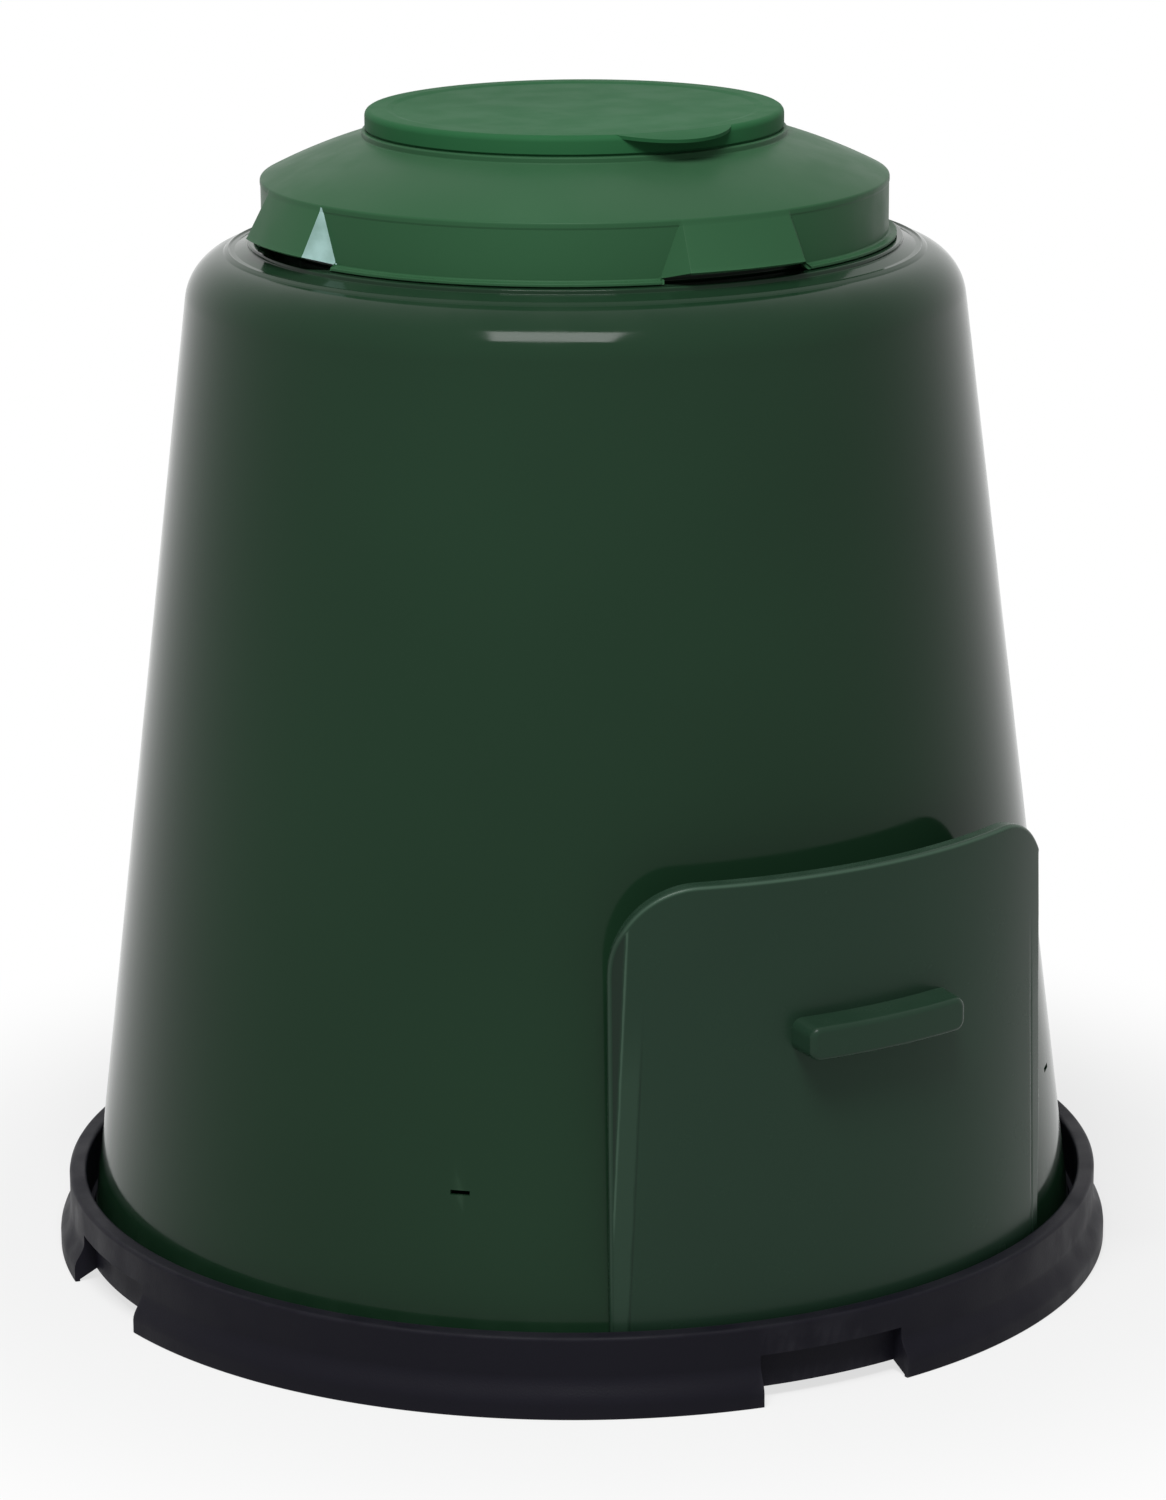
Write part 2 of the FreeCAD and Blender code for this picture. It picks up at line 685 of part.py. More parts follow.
def margin_cut(body, name, sign, inset):
    """Pocket that slices one side margin off along a plane."""
    angle = value(arc_degrees("hatch_half_arc", "hatch_radius"))
    radius = value("hatch_radius")
    outward = FreeCAD.Rotation(FreeCAD.Vector(0, 0, 1), sign * angle)
    tangent = outward.multVec(FreeCAD.Vector(0, sign, 0))
    radial = outward.multVec(FreeCAD.Vector(1, 0, 0))
    start = radial * radius + FreeCAD.Vector(0, 0, value("margin_start"))
    lean = value("margin_angle")
    across = tangent * math.cos(math.radians(lean)) - radial * math.sin(math.radians(lean))
    upward = (FreeCAD.Vector(0, 0, 1) - tangent * value("margin_slope")).normalize()
    normal = across.cross(upward).normalize() * sign
    base = start - normal * value(inset)
    rotation = FreeCAD.Rotation(upward.cross(normal), upward, normal, "ZXY")
    sketch = body.newObject("Sketcher::SketchObject", f"{name}_outline")
    sketch.AttachmentSupport = [(origin_feature(body, "XY_Plane"), "")]
    sketch.MapMode = "FlatFace"
    sketch.AttachmentOffset = FreeCAD.Placement(base, rotation)
    reach = "hatch_top"
    draw_outline(sketch, [
        (f"-{reach}", f"-{reach}"),
        (reach, f"-{reach}"),
        (reach, reach),
        (f"-{reach}", reach),
    ])
    pocket = body.newObject("PartDesign::Pocket", name)
    pocket.Profile = sketch
    pocket.Reversed = True
    pocket.setExpression("Length", bound("hatch_corner"))
    doc.recompute()
    return pocket


def handle_lump(name, inset):
    """The handle's outer form, or the hollow in it that is open to the back of the hatch."""
    body = new_body(name)
    root = "hatch_inner + hatch_skin / 2" if inset == "0" else "hatch_inner - hatch_skin"
    tip = f"hatch_radius + handle_reach - {inset}"
    spin(body, f"{name}_block", [[
        (root, f"handle_bottom + handle_droop + {inset}"),
        (tip, f"handle_bottom + {inset}"),
        (tip, f"handle_top - {inset}"),
        (root, f"handle_top + handle_droop - {inset}"),
    ]], angle=arc_degrees(f"2 * (handle_half_arc - {inset})", "hatch_radius + handle_reach / 2"))
    if inset == "0":
        front = [
            f"Edge{number}" for number, edge in enumerate(body.Shape.Edges, start=1)
            if min(math.hypot(v.X, v.Y) for v in edge.Vertexes) > value(tip) - 0.01
        ]
        bevel_edges(body, "handle_bevel", front, "handle_bevel")
    return body


def make_hatch_door():
    """Upright curved door with returned edges, two hooks that run behind the frame's lips, and a handle."""
    outer = hatch_lump("HatchOuter", "0")
    door = combine("Cut", "HatchSkin", outer, hatch_lump("HatchHollow", "hatch_skin"))
    hooks = new_body("HatchHooks")
    hooks.AllowCompound = True
    section = [
        ("hatch_rear - hook_depth", "hook_bottom"),
        ("hatch_rear + hatch_skin / 2", "hook_bottom"),
        ("hatch_rear + hatch_skin / 2", "hook_top"),
        ("hatch_rear - hook_depth", "hook_top"),
    ]
    spin(hooks, "hook_band", [section], angle=arc_degrees("2 * hatch_half_arc", "hatch_radius"))
    wide = [
        ("hatch_rear - 2 * hook_depth", "hook_bottom - hook_depth"),
        ("hatch_rear + hook_depth", "hook_bottom - hook_depth"),
        ("hatch_rear + hook_depth", "hook_top + hook_depth"),
        ("hatch_rear - 2 * hook_depth", "hook_top + hook_depth"),
    ]
    spin(hooks, "hook_gap", [wide], cut=True,
         angle=arc_degrees("2 * (frame_half_arc + hook_clearance)", "frame_radius"))
    door = combine("Fuse", "HatchWithHooks", door, hooks)
    door = combine("Fuse", "HatchWithHandle", door, handle_lump("HandleOuter", "0"))
    door = combine("Cut", "HatchDoor", door, handle_lump("HandleHollow", "hatch_skin"))
    return put_in_place(door, "hatch_door")


def vent_section(height, inset="0", root_depth="0"):
    """Level section of one flared vent at a height, or of its hollow, which reaches in through the skirt."""
    spread = "(vent_reach - lid_edge_radius) / (lid_edge_level - vent_bottom)"
    reach = f"(lid_edge_radius + (lid_edge_level - ({height})) * {spread} - {inset})"
    narrow = arc_degrees(inset, "skirt_radius")
    half = f"(vent_half_angle - {narrow})"
    share = f"((lid_edge_level - ({height})) / (lid_edge_level - vent_bottom))"
    spread_angle = f"(vent_foot_angle - vent_half_angle) * {share}"
    foot_half = f"(vent_half_angle + vent_root_spread + {spread_angle} - {narrow})"
    root = f"(skirt_radius - lid_wall / 2 - {root_depth})"
    return [
        (f"{root} * cos({foot_half})", f"-{root} * sin({foot_half})"),
        (f"{reach} * cos({half})", f"-{reach} * sin({half})"),
        (f"{reach} * cos({half})", f"{reach} * sin({half})", f"-{reach}"),
        (f"{root} * cos({foot_half})", f"{root} * sin({foot_half})"),
    ]


def make_outer_lid():
    """Domed lid on a skirt, with four flared vents, a mouth for the cap and ribs that sit on the neck."""
    body = new_body("OuterLid")
    skirt_inner = "(skirt_radius - lid_wall)"
    underside = "(lid_edge_level - 2 * ledge_drop - lid_wall / 2)"
    spin(body, "lid_shell", [[
        ("lid_lip_radius - lid_wall", "lid_bottom"),
        ("lid_lip_radius", "lid_bottom"),
        ("lid_lip_radius", "lid_bottom + lid_lip_height"),
        ("skirt_radius", "lid_bottom + lid_lip_height + lid_wall"),
        ("skirt_radius", "lid_edge_level - 2 * ledge_drop"),
        ("lid_edge_radius", "lid_edge_level - ledge_drop"),
        ("lid_edge_radius", "lid_edge_level"),
        ("dome_radius", "dome_top", "-dome_bow"),
        ("dome_radius", "lid_top"),
        ("mouth_radius", "lid_top"),
        ("mouth_radius", "lid_top - mouth_depth"),
        ("mouth_radius + lid_wall", "lid_top - mouth_depth"),
        ("mouth_radius + lid_wall", "lid_top - lid_wall"),
        ("dome_radius - lid_wall", "lid_top - lid_wall"),
        ("dome_radius - lid_wall", "dome_top - lid_wall"),
        (skirt_inner, underside, "dome_bow"),
        (skirt_inner, "lid_bottom + lid_lip_height"),
    ]])

    low = "(lid_bottom - lid_gap)"
    high = "lid_edge_level"
    outer = blend(body, "vent", (low, vent_section(low)), (high, vent_section(high)))
    around(body, "vents", [outer], "vent_count")
    hollow_low = f"({low} - lid_gap)"
    hollow_high = "(lid_edge_level - 2 * lid_wall)"
    hollow_ends = [
        (level, vent_section(level, "lid_wall", "vent_root_depth")) for level in (hollow_low, hollow_high)
    ]
    hollow = blend(body, "vent_hollow", *hollow_ends, cut=True)
    around(body, "vent_hollows", [hollow], "vent_count")
    half_mouth = "vent_reach * sin(vent_half_angle)"
    half_foot = "skirt_radius * sin(vent_foot_angle)"
    foot_top = "(lid_bottom + lid_wall)"
    mouth = press(body, "vent_mouth", [[
        (f"-{half_foot}", "lid_bottom - lid_wall"),
        (half_foot, "lid_bottom - lid_wall"),
        (half_foot, foot_top),
        (half_mouth, "vent_bottom"),
        (f"-{half_mouth}", "vent_bottom"),
        (f"-{half_foot}", foot_top),
    ]], plane="YZ_Plane", cut=True, reverse=True)
    around(body, "vent_mouths", [mouth], "vent_count")

    rib_inner = "(neck_radius - seat_rib_reach)"
    dome_fall = "(dome_top - lid_edge_level) / (lid_edge_radius - dome_radius)"
    rib_section = [
        (rib_inner, "neck_top"),
        ("neck_radius + plug_clearance", "neck_top"),
        ("neck_radius + plug_clearance", "neck_top - seat_rib_overlap"),
        (f"{skirt_inner} + lid_wall / 2", "neck_top - seat_rib_overlap"),
        (f"{skirt_inner} + lid_wall / 2", "lid_edge_level - lid_wall / 2"),
        (rib_inner, f"lid_edge_level - lid_wall / 2 + (lid_edge_radius - {rib_inner}) * {dome_fall}"),
    ]
    ribs = [
        spin(body, f"seat_rib_{side}", [rib_section],
             angle=arc_degrees("seat_rib_width", "neck_radius"), turn=f"{sign} * seat_rib_turn")
        for side, sign in (("left", 1), ("right", -1))
    ]
    around(body, "seat_ribs", ribs, "vent_count")
    return put_in_place(body, "outer_lid", "lid_turn")


def make_inner_cap():
    """Disc that closes the mouth of the lid, with a plug ring under it and a thumb tab at its edge."""
    body = new_body("InnerCap")
    plug_radius = "(mouth_radius - plug_clearance)"
    # Two bevels follow the rounding of the edge and meet halfway round it.
    edge_step = "cap_rounding * (1 - sqrt(1 / 2))"
    spin(body, "cap_shell", [[
        ("0", "cap_top - dish_depth"),
        ("dish_radius", "cap_top - dish_depth"),
        ("dish_radius + 3 * dish_depth", "cap_top"),
        ("cap_radius - cap_rounding", "cap_top"),
        (f"cap_radius - {edge_step}", f"cap_top - {edge_step}"),
        ("cap_radius", "cap_top - cap_rounding"),
        ("cap_radius", "lid_top"),
        ("cap_radius - cap_wall", "lid_top"),
        ("cap_radius - cap_wall", "cap_underside - cap_wall / 2"),
        ("cap_radius - cap_rounding", "cap_underside"),
        (plug_radius, "cap_underside"),
        (plug_radius, "lid_top - plug_depth"),
        (f"{plug_radius} - plug_wall", "lid_top - plug_depth"),
        (f"{plug_radius} - plug_wall", "cap_underside - dish_depth"),
        ("0", "cap_underside - dish_depth"),
    ]])
    tab_bow = "((tab_half_width ^ 2 + tab_reach ^ 2) / (2 * tab_reach))"
    press(body, "thumb_tab", [[
        ("0", "-tab_half_width"),
        ("0", "tab_half_width", f"-{tab_bow}"),
    ]], length="cap_wall", reverse=True, offset=(
        "placement(vector(tab_root; 0; cap_top); rotation(vector(0; 1; 0); tab_droop))"))
    return put_in_place(body, "inner_cap", "cap_turn")


def check(pieces):
    """Stop if any object of the document failed, or a piece has no sound solid."""
    failed = [item.Name for item in doc.Objects if {"Invalid", "Error"} & set(item.State)]
    if failed:
        raise RuntimeError(f"These objects failed: {failed}")
    for piece in pieces:
        if piece.Shape.isNull() or not piece.Shape.isValid() or not piece.Shape.Solids:
            raise RuntimeError(f"{piece.Label} has no sound solid")


pieces = [
    make_base_tray(),
    make_locking_pegs(),
    make_body_shell(),
    make_hatch_door(),
    make_outer_lid(),
    make_inner_cap(),
]
doc.recompute()
check(pieces)
os.makedirs("parts", exist_ok=True)
for piece in pieces:
    piece.Shape.exportStep(f"parts/{piece.Label}.step")
    box = piece.Shape.BoundBox
    print(f"{piece.Label}: {len(piece.Shape.Solids)} solids, z {box.ZMin:.1f} to {box.ZMax:.1f},"
          f" volume {piece.Shape.Volume / 1000:.0f} cm3")
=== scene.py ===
"""A garden compost bin: glossy green body, satin lid, cap and hatch, on a black base.

The bin's sizes are in millimetres and become metres when a mesh is made. Every piece is drawn with the hatch
side on +X and is then turned about the upright axis, so that the hatch faces -Y.
"""
import math

import bmesh
import bpy
from mathutils import Matrix, Vector


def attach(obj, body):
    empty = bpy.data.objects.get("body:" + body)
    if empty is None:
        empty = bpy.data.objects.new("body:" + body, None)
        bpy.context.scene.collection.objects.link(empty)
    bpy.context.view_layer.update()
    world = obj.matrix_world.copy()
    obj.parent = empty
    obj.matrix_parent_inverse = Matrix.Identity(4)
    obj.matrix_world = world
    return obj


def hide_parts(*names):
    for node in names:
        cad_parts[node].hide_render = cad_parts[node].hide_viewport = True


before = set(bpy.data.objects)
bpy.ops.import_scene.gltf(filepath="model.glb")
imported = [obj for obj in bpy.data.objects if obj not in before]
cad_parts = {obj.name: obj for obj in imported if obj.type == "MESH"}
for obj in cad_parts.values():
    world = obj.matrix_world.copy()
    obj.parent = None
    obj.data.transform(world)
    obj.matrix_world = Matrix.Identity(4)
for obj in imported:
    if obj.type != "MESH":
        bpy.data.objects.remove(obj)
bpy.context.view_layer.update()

MM = 0.001
FRONT = -90.0

# The camera, solved from the ellipses of the bin: its place, the way it looks and its picture.
CAMERA_DISTANCE = 3.651
CAMERA_HEIGHT = 1.360
CAMERA_TURN = math.radians(-33.0)
CAMERA_PITCH = math.radians(15.10)
CAMERA_ROLL = -0.00717
PICTURE_WIDTH = 1166
PICTURE_HEIGHT = 1500
PICTURE_FOCAL = 5025.4
PICTURE_AXIS_X = 578.8
SENSOR = 36.0

# How finely round things are divided, how far an arc may reach along its sides, and how near points merge.
COLUMNS = 288
LONGEST_SPAN = 40.0
LARGE_RADIUS = 10.0
LARGE_STEP = 3.0
SMALL_STEPS = 4
SHARP_ANGLE = 32.0
FULL_REACH = 0.98
MERGE_FINE = 0.001
MERGE_COARSE = 0.01
MERGE_METRES = 1e-6
FLARE_STEPS = 8
HATCH_ROWS = 36
HATCH_EDGE_STEPS = 6
HATCH_CORNER_STEP = 4.0
HATCH_CORNER_COUNT = 23
HATCH_FINE_STEP = 1.1
HATCH_FINE_COUNT = 24
HATCH_WIDE_STEP = 6.0
HATCH_LEAST_STEP = 0.12
HANDLE_SPAN = 5.0
DOME_STEPS = 14
SKIRT_STEPS = 22
VENT_STEPS = 10
TAB_COLUMNS = 48
TAB_ROWS = 14

# Base tray.
BASE_RADIUS = 400.0
RIM_RADIUS = 392.0
RIM_INNER = 379.0
RIM_TOP = 58.0
BASE_WALL = 4.0
FLARE_BOTTOM = 10.0
FLARE_TOP = 30.0
FLOOR_BOTTOM = 10.0
FLOOR_TOP = 14.0
LEDGE_TOP = 21.5
LEDGE_WIDTH = 3.8
NOTCH_WIDTH = 116.6
NOTCH_HEIGHT = 36.0
NOTCH_TURN = -6.2
WEB = 5.0
SLOT_RINGS = ((60.0, 10), (160.0, 22), (260.0, 34))
SLOT_LENGTH = 70.0
SLOT_WIDTH = 8.0
RIB_WIDTH = 4.0
SLOT_ROUNDING = 3.0
CUT_PAST = 1.0

# Body.
FOOT_RADIUS = 374.6
TAPER = 0.12458
SHOULDER = (282.9, 750.1)
SHOULDER_ROUNDING = 40.0
SLOPE = math.tan(math.radians(17.0))
BODY_WALL = 4.0
BEAD_RADIUS = 255.0
BEAD_WIDTH = 5.0
BEAD_HEIGHT = 1.0
BEAD_FLANK = 1.2
GROOVE_RADIUS = 249.0
GROOVE_DEPTH = 0.8
COLLAR_RADIUS = 240.0
COLLAR_FOOT = 763.2
COLLAR_TOP = 766.516
NECK_RADIUS = 221.0
NECK_TOP = 796.016
FOOT_FLANGE = 21.0
AIR_SLOT = (14.0, 3.5)
AIR_SLOT_LEVEL = 149.3
AIR_SLOT_TURN = -46.75

# Hatch and the frame that it slides on.
HATCH_RADIUS = 377.0
HATCH_REAR = 366.0
HATCH_SKIN = 2.4
HATCH_HALF = 198.6
HATCH_TOP = 377.0
HATCH_CORNER = 64.0
HATCH_EDGE = 3.5
MARGIN_START = 60.0
MARGIN_SLOPE = 0.047
MARGIN_LEAN = math.radians(39.5)
BORDER = 14.0
BORDER_TILT = 0.05
BORDER_GROOVE = 0.45
BORDER_END = 300.0
BORDER_FADE = 60.0
BORDER_GROOVE_WIDTH = 1.1
# Painted light and shade on the hatch's face: a painted highlight along the left crease, a pale painted band in
# the left border, painted shade in the border's groove and on the left margin.
CREASE_PAINT_START = 90.0
CREASE_PAINT_FADE = 60.0
CREASE_HIGHLIGHT_WIDTH = 1.0
BORDER_LIGHT_LEVEL = 0.30
GROOVE_SHADE_LEVEL = 0.45
GROOVE_SHADE_WIDTH = 0.7
MARGIN_DARK = 0.5
MARGIN_DARK_START = 0.6
BODY_CLEARANCE = 0.8
CREASE_SOFTNESS = 0.7
FRAME_RADIUS = 371.0
FRAME_HALF = 177.0
FRAME_BOTTOM = 60.0
FRAME_TOP = 338.0
FRAME_WALL = 4.0
LIP_WIDTH = 6.0
LIP_THICKNESS = 2.5
OPENING_HALF = 152.0
OPENING_BOTTOM = 64.0
OPENING_TOP = 318.0
OPENING_ROUNDING = 20.0
HOOK_BOTTOM = 130.0
HOOK_TOP = 310.0
HOOK_DEPTH = 3.0
HOOK_GAP = 1.6
HANDLE_BOTTOM = 249.0
HANDLE_TOP = 273.5
HANDLE_HALF = 70.0
HANDLE_REACH = 23.0
HANDLE_DRAFT = 5.5
HANDLE_DROOP = 2.0
HANDLE_CORNER = 8.0
HANDLE_EDGE = 3.8

# Outer lid.
LID_TURN = -3.4
LID_WALL = 3.0
SKIRT_RADIUS = 229.2
LIP_RADIUS = 235.2
LID_BOTTOM = 767.816
LEDGE_RADIUS = 229.6
LEDGE_LEVEL = 811.016
DOME_RADIUS = 155.0
DOME_TOP = 840.516
DOME_BOW = 400.0
LID_TOP = 845.016
MOUTH_RADIUS = 140.0
MOUTH_DEPTH = 11.0
VENT_REACH = 247.5
VENT_BOTTOM = 776.516
VENT_FOOT_TOP = 770.8
VENT_HALF = 10.8
VENT_FOOT = 14.3
VENT_SPREAD = 0.3
LEFT_VENT_TURN = -1.5
VENT_BOW = 1.25
CREASE_ROUNDING = 0.35
SEAT_RIB_TURN = 30.0
SEAT_RIB_INNER = 210.0
SEAT_RIB_LAP = 12.0
SEAT_RIB_WIDTH = 4.0
SEAT_GAP = 0.2
NECK_GAP = 0.8

# Inner cap.
CAP_TURN = -3.5
CAP_RADIUS = 152.7
CAP_TOP = 860.0
CAP_ROUNDING = 4.5
CAP_WALL = 3.0
DISH_RADIUS = 132.0
DISH_DEPTH = 1.0
PLUG_RADIUS = 139.2
PLUG_WALL = 2.5
PLUG_BOTTOM = 830.0
CAP_SPAN = 12.0
TAB_CENTRE = 113.8
TAB_RADIUS = 55.0
TAB_ROOT = 146.0
TAB_DROP = 3.4
TAB_THICKNESS = 2.6
TAB_LAP = 12.0
TAB_EDGE = 0.9

# Colours of the mouldings.
BODY_GREEN = (0.0112, 0.0362, 0.0172)
HATCH_GREEN = (0.0160, 0.0410, 0.0242)
LID_GREEN = (0.030, 0.098, 0.044)
CAP_GREEN = (0.024, 0.112, 0.044)
BASE_BLACK = (0.0092, 0.0088, 0.0135)
# Pale tint of dust on what faces up; it also stands in for painted top light.
DUST_AND_TOP_LIGHT = (0.30, 0.33, 0.29)
# Painted reflection: pale tint for one vent facet, standing in for the softbox's reflection.
FACET_REFLECTION_TINT = (0.36, 0.54, 0.52)
# Painted shade colour for the hatch's border groove and left margin.
GROOVE_SHADE_COLOUR = (0.004, 0.008, 0.006)


def arc_angle(length, radius):
    """Angle in degrees of an arc of that length on that radius."""
    return math.degrees(length / radius)


def swung(first, last, share):
    """Arm of a circle, swung by a share of the way from the first arm to the last."""
    return first.slerp(last, share) * first.length


def rounded(corners):
    """Points through corners (radius, height, rounding), with an arc at each corner that has a rounding."""
    points = []
    for index, corner in enumerate(corners):
        here = Vector(corner[:2])
        if len(corner) == 2:
            points.append(here)
            continue
        before = Vector(corners[index - 1][:2]) - here
        after = Vector(corners[(index + 1) % len(corners)][:2]) - here
        half = before.angle(after) / 2
        reach = min(corner[2] / math.tan(half), FULL_REACH * before.length, FULL_REACH * after.length)
        radius = reach * math.tan(half)
        inward = (before.normalized() + after.normalized()).normalized()
        centre = here + inward * (radius / math.sin(half))
        first = here + before.normalized() * reach - centre
        last = here + after.normalized() * reach - centre
        steps = SMALL_STEPS
        if radius > LARGE_RADIUS:
            steps = math.ceil((180.0 - 2 * math.degrees(half)) / LARGE_STEP)
        points += [centre + swung(first, last, step / steps) for step in range(steps + 1)]
    return points


def divided(points, longest=LONGEST_SPAN):
    """The same closed section with its long sides divided."""
    result = []
    for index, point in enumerate(points):
        result.append(point)
        following = points[(index + 1) % len(points)]
        parts = math.ceil((following - point).length / longest)
        result += [point.lerp(following, part / parts) for part in range(1, parts)]
    return result


def bow(start, end, radius, steps):
    """Points along an arc between two points, without its ends, that bulges to the right of the way."""
    start, end = Vector(start), Vector(end)
    chord = end - start
    right = Vector((chord.y, -chord.x)).normalized()
    depth = math.sqrt(radius ** 2 - (chord.length / 2) ** 2)
    centre = (start + end) / 2 - right * depth
    return [centre + swung(start - centre, end - centre, step / steps) for step in range(1, steps)]


def place(radius, angle, height):
    """Point at a radius, an angle in degrees and a height."""
    turn = math.radians(angle)
    return Vector((radius * math.cos(turn), radius * math.sin(turn), height))


def turned(section, start=0.0, sweep=360.0):
    """Lump of a closed section turned about the bin's axis, all the way round or from one angle to another."""
    lump = bmesh.new()
    whole = sweep >= 360.0
    steps = COLUMNS if whole else max(2, round(COLUMNS * sweep / 360.0))
    rings = [
        [lump.verts.new(place(point[0], start + sweep * step / steps, point[1])) for point in section]
        for step in range(steps if whole else steps + 1)
    ]
    for step in range(steps):
        ring, following = rings[step], rings[(step + 1) % len(rings)]
        for index in range(len(section)):
            after = (index + 1) % len(section)
            lump.faces.new((ring[index], following[index], following[after], ring[after]))
    if not whole:
        lump.faces.new(rings[0])
        lump.faces.new(rings[-1][::-1])
    bmesh.ops.remove_doubles(lump, verts=lump.verts, dist=MERGE_FINE)
    bmesh.ops.recalc_face_normals(lump, faces=lump.faces)
    return lump


def pressed(outline, low, high, to_place):
    """Lump of a closed outline between two levels, with to_place giving each of its points in space."""
    lump = bmesh.new()
    rings = [[lump.verts.new(to_place(point[0], point[1], level)) for point in outline] for level in (low, high)]
    for index in range(len(outline)):
        after = (index + 1) % len(outline)
        lump.faces.new((rings[0][index], rings[0][after], rings[1][after], rings[1][index]))
    lump.faces.new(rings[0][::-1])
    lump.faces.new(rings[1])
    bmesh.ops.recalc_face_normals(lump, faces=lump.faces)
    return lump


def copies(lump, turns):
    """The lump repeated at each turn about the bin's axis, as one lump."""
    result = bmesh.new()
    mesh = bpy.data.meshes.new("copied")
    lump.to_mesh(mesh)
    for turn in turns:
        fresh = bmesh.new()
        fresh.from_mesh(mesh)
        fresh.transform(Matrix.Rotation(math.radians(turn), 4, "Z"))
        add_lump(result, fresh)
    bpy.data.meshes.remove(mesh)
    return result


def add_lump(target, lump):
    """Put one lump's mesh into another and free it."""
    mesh = bpy.data.meshes.new("joined")
    lump.to_mesh(mesh)
    lump.free()
    target.from_mesh(mesh)
    bpy.data.meshes.remove(mesh)


def as_object(name, lumps):
    """One object of several lumps, still in millimetres."""
    whole = bmesh.new()
    for lump in lumps:
        add_lump(whole, lump)
    mesh = bpy.data.meshes.new(name)
    whole.to_mesh(mesh)
    whole.free()
    piece = bpy.data.objects.new(name, mesh)
    bpy.context.scene.collection.objects.link(piece)
    return piece


def settled(piece):
    """Make the result of the piece's modifiers its own mesh."""
    bpy.context.view_layer.update()
    shown = piece.evaluated_get(bpy.context.evaluated_depsgraph_get())
    mesh = bpy.data.meshes.new_from_object(shown)
    piece.modifiers.clear()
    piece.data = mesh
    return piece


def carve(piece, lumps, kind="DIFFERENCE"):
    """Cut lumps out of a piece, or join them to it."""
    tool = as_object("carving_tool", lumps)
    cut = piece.modifiers.new("carve", "BOOLEAN")
    cut.operation = kind
    cut.solver = "EXACT"
    cut.object = tool
    settled(piece)
    bpy.data.objects.remove(tool)
    return piece


def thickened(piece, wall):
    """Give a sheet its wall, inward from its outer face."""
    sheet = piece.modifiers.new("wall", "SOLIDIFY")
    sheet.thickness = wall
    sheet.offset = -1.0
    return settled(piece)


def with_extra(piece, extra):
    """Put another object's mesh into a piece, and remove that object."""
    joined = bmesh.new()
    joined.from_mesh(piece.data)
    joined.from_mesh(extra.data)
    joined.to_mesh(piece.data)
    joined.free()
    bpy.data.objects.remove(extra)
    return piece


def finish_piece(piece, node, body, material, turn=0.0):
    """Put a piece in its place in metres, shade it, and let it stand for its node."""
    piece.data.transform(Matrix.Rotation(math.radians(FRONT + turn), 4, "Z") @ Matrix.Scale(MM, 4))
    lump = bmesh.new()
    lump.from_mesh(piece.data)
    bmesh.ops.remove_doubles(lump, verts=lump.verts, dist=MERGE_METRES)
    for face in lump.faces:
        face.smooth = True
    for edge in lump.edges:
        edge.smooth = len(edge.link_faces) == 2 and edge.calc_face_angle(0.0) < math.radians(SHARP_ANGLE)
    lump.to_mesh(piece.data)
    lump.free()
    piece.data.materials.clear()
    piece.data.materials.append(material)
    normals = piece.modifiers.new("flat_faces_first", "WEIGHTED_NORMAL")
    normals.keep_sharp = True
    normals.weight = 50
    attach(piece, body)
    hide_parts(node)


def make_camera():
    """Camera at the photograph's viewing angle."""
    turn = Matrix.Rotation(CAMERA_TURN, 3, "Z")
    level = Vector((1.0, 0.0, 0.0))
    upward = Vector((0.0, math.sin(CAMERA_PITCH), math.cos(CAMERA_PITCH)))
    back = Vector((0.0, -math.cos(CAMERA_PITCH), math.sin(CAMERA_PITCH)))
    right = level * math.cos(CAMERA_ROLL) + upward * math.sin(CAMERA_ROLL)
    top = upward * math.cos(CAMERA_ROLL) - level * math.sin(CAMERA_ROLL)
    columns = Matrix((turn @ right, turn @ top, turn @ back)).transposed()
    data = bpy.data.cameras.new("camera")
    data.sensor_fit = "AUTO"
    data.sensor_width = SENSOR
    data.lens = PICTURE_FOCAL * SENSOR / PICTURE_HEIGHT
    data.shift_x = (PICTURE_WIDTH / 2 - PICTURE_AXIS_X) / PICTURE_HEIGHT
    camera = bpy.data.objects.new("camera", data)
    camera.matrix_world = columns.to_4x4()
    camera.location = turn @ Vector((0.0, -CAMERA_DISTANCE, CAMERA_HEIGHT))
    bpy.context.scene.collection.objects.link(camera)
    bpy.context.scene.camera = camera


# The studio.
COLOUR_A, COLOUR_B, COLOUR_RESULT = 6, 7, 2
FLOOR_RADIUS = 9.0
FLOOR_COLOUR = (0.86, 0.86, 0.86, 1.0)
FLOOR_SIDES = 128
FLOOR_ROUGHNESS = 0.9
FLOOR_GLOSS = 0.1
FLOOR_GLOW = 0.7
FADE_START = 0.42
FADE_END = 0.80
ROOM_LEVEL = 0.22
LAMP_AIM = Vector((0.0, 0.0, 0.6))


def ramp(nodes, links, source, low, high, start=0.0, end=1.0):
    """Smooth change from start to end while the source goes from low to high."""
    change = nodes.new("ShaderNodeMapRange")
    change.interpolation_type = "SMOOTHSTEP"
    change.inputs["From Min"].default_value = low
    change.inputs["From Max"].default_value = high
    change.inputs["To Min"].default_value = start
    change.inputs["To Max"].default_value = end
    links.new(source, change.inputs["Value"])
    return change.outputs["Result"]


def combined(nodes, links, operation, first, second):
    """Two values put together by a sum, a product or the like."""
    join = nodes.new("ShaderNodeMath")
    join.operation = operation
    for socket, source in zip(join.inputs, (first, second)):
        if isinstance(source, float):
            socket.default_value = source
        else:
            links.new(source, socket)
    return join.outputs["Value"]


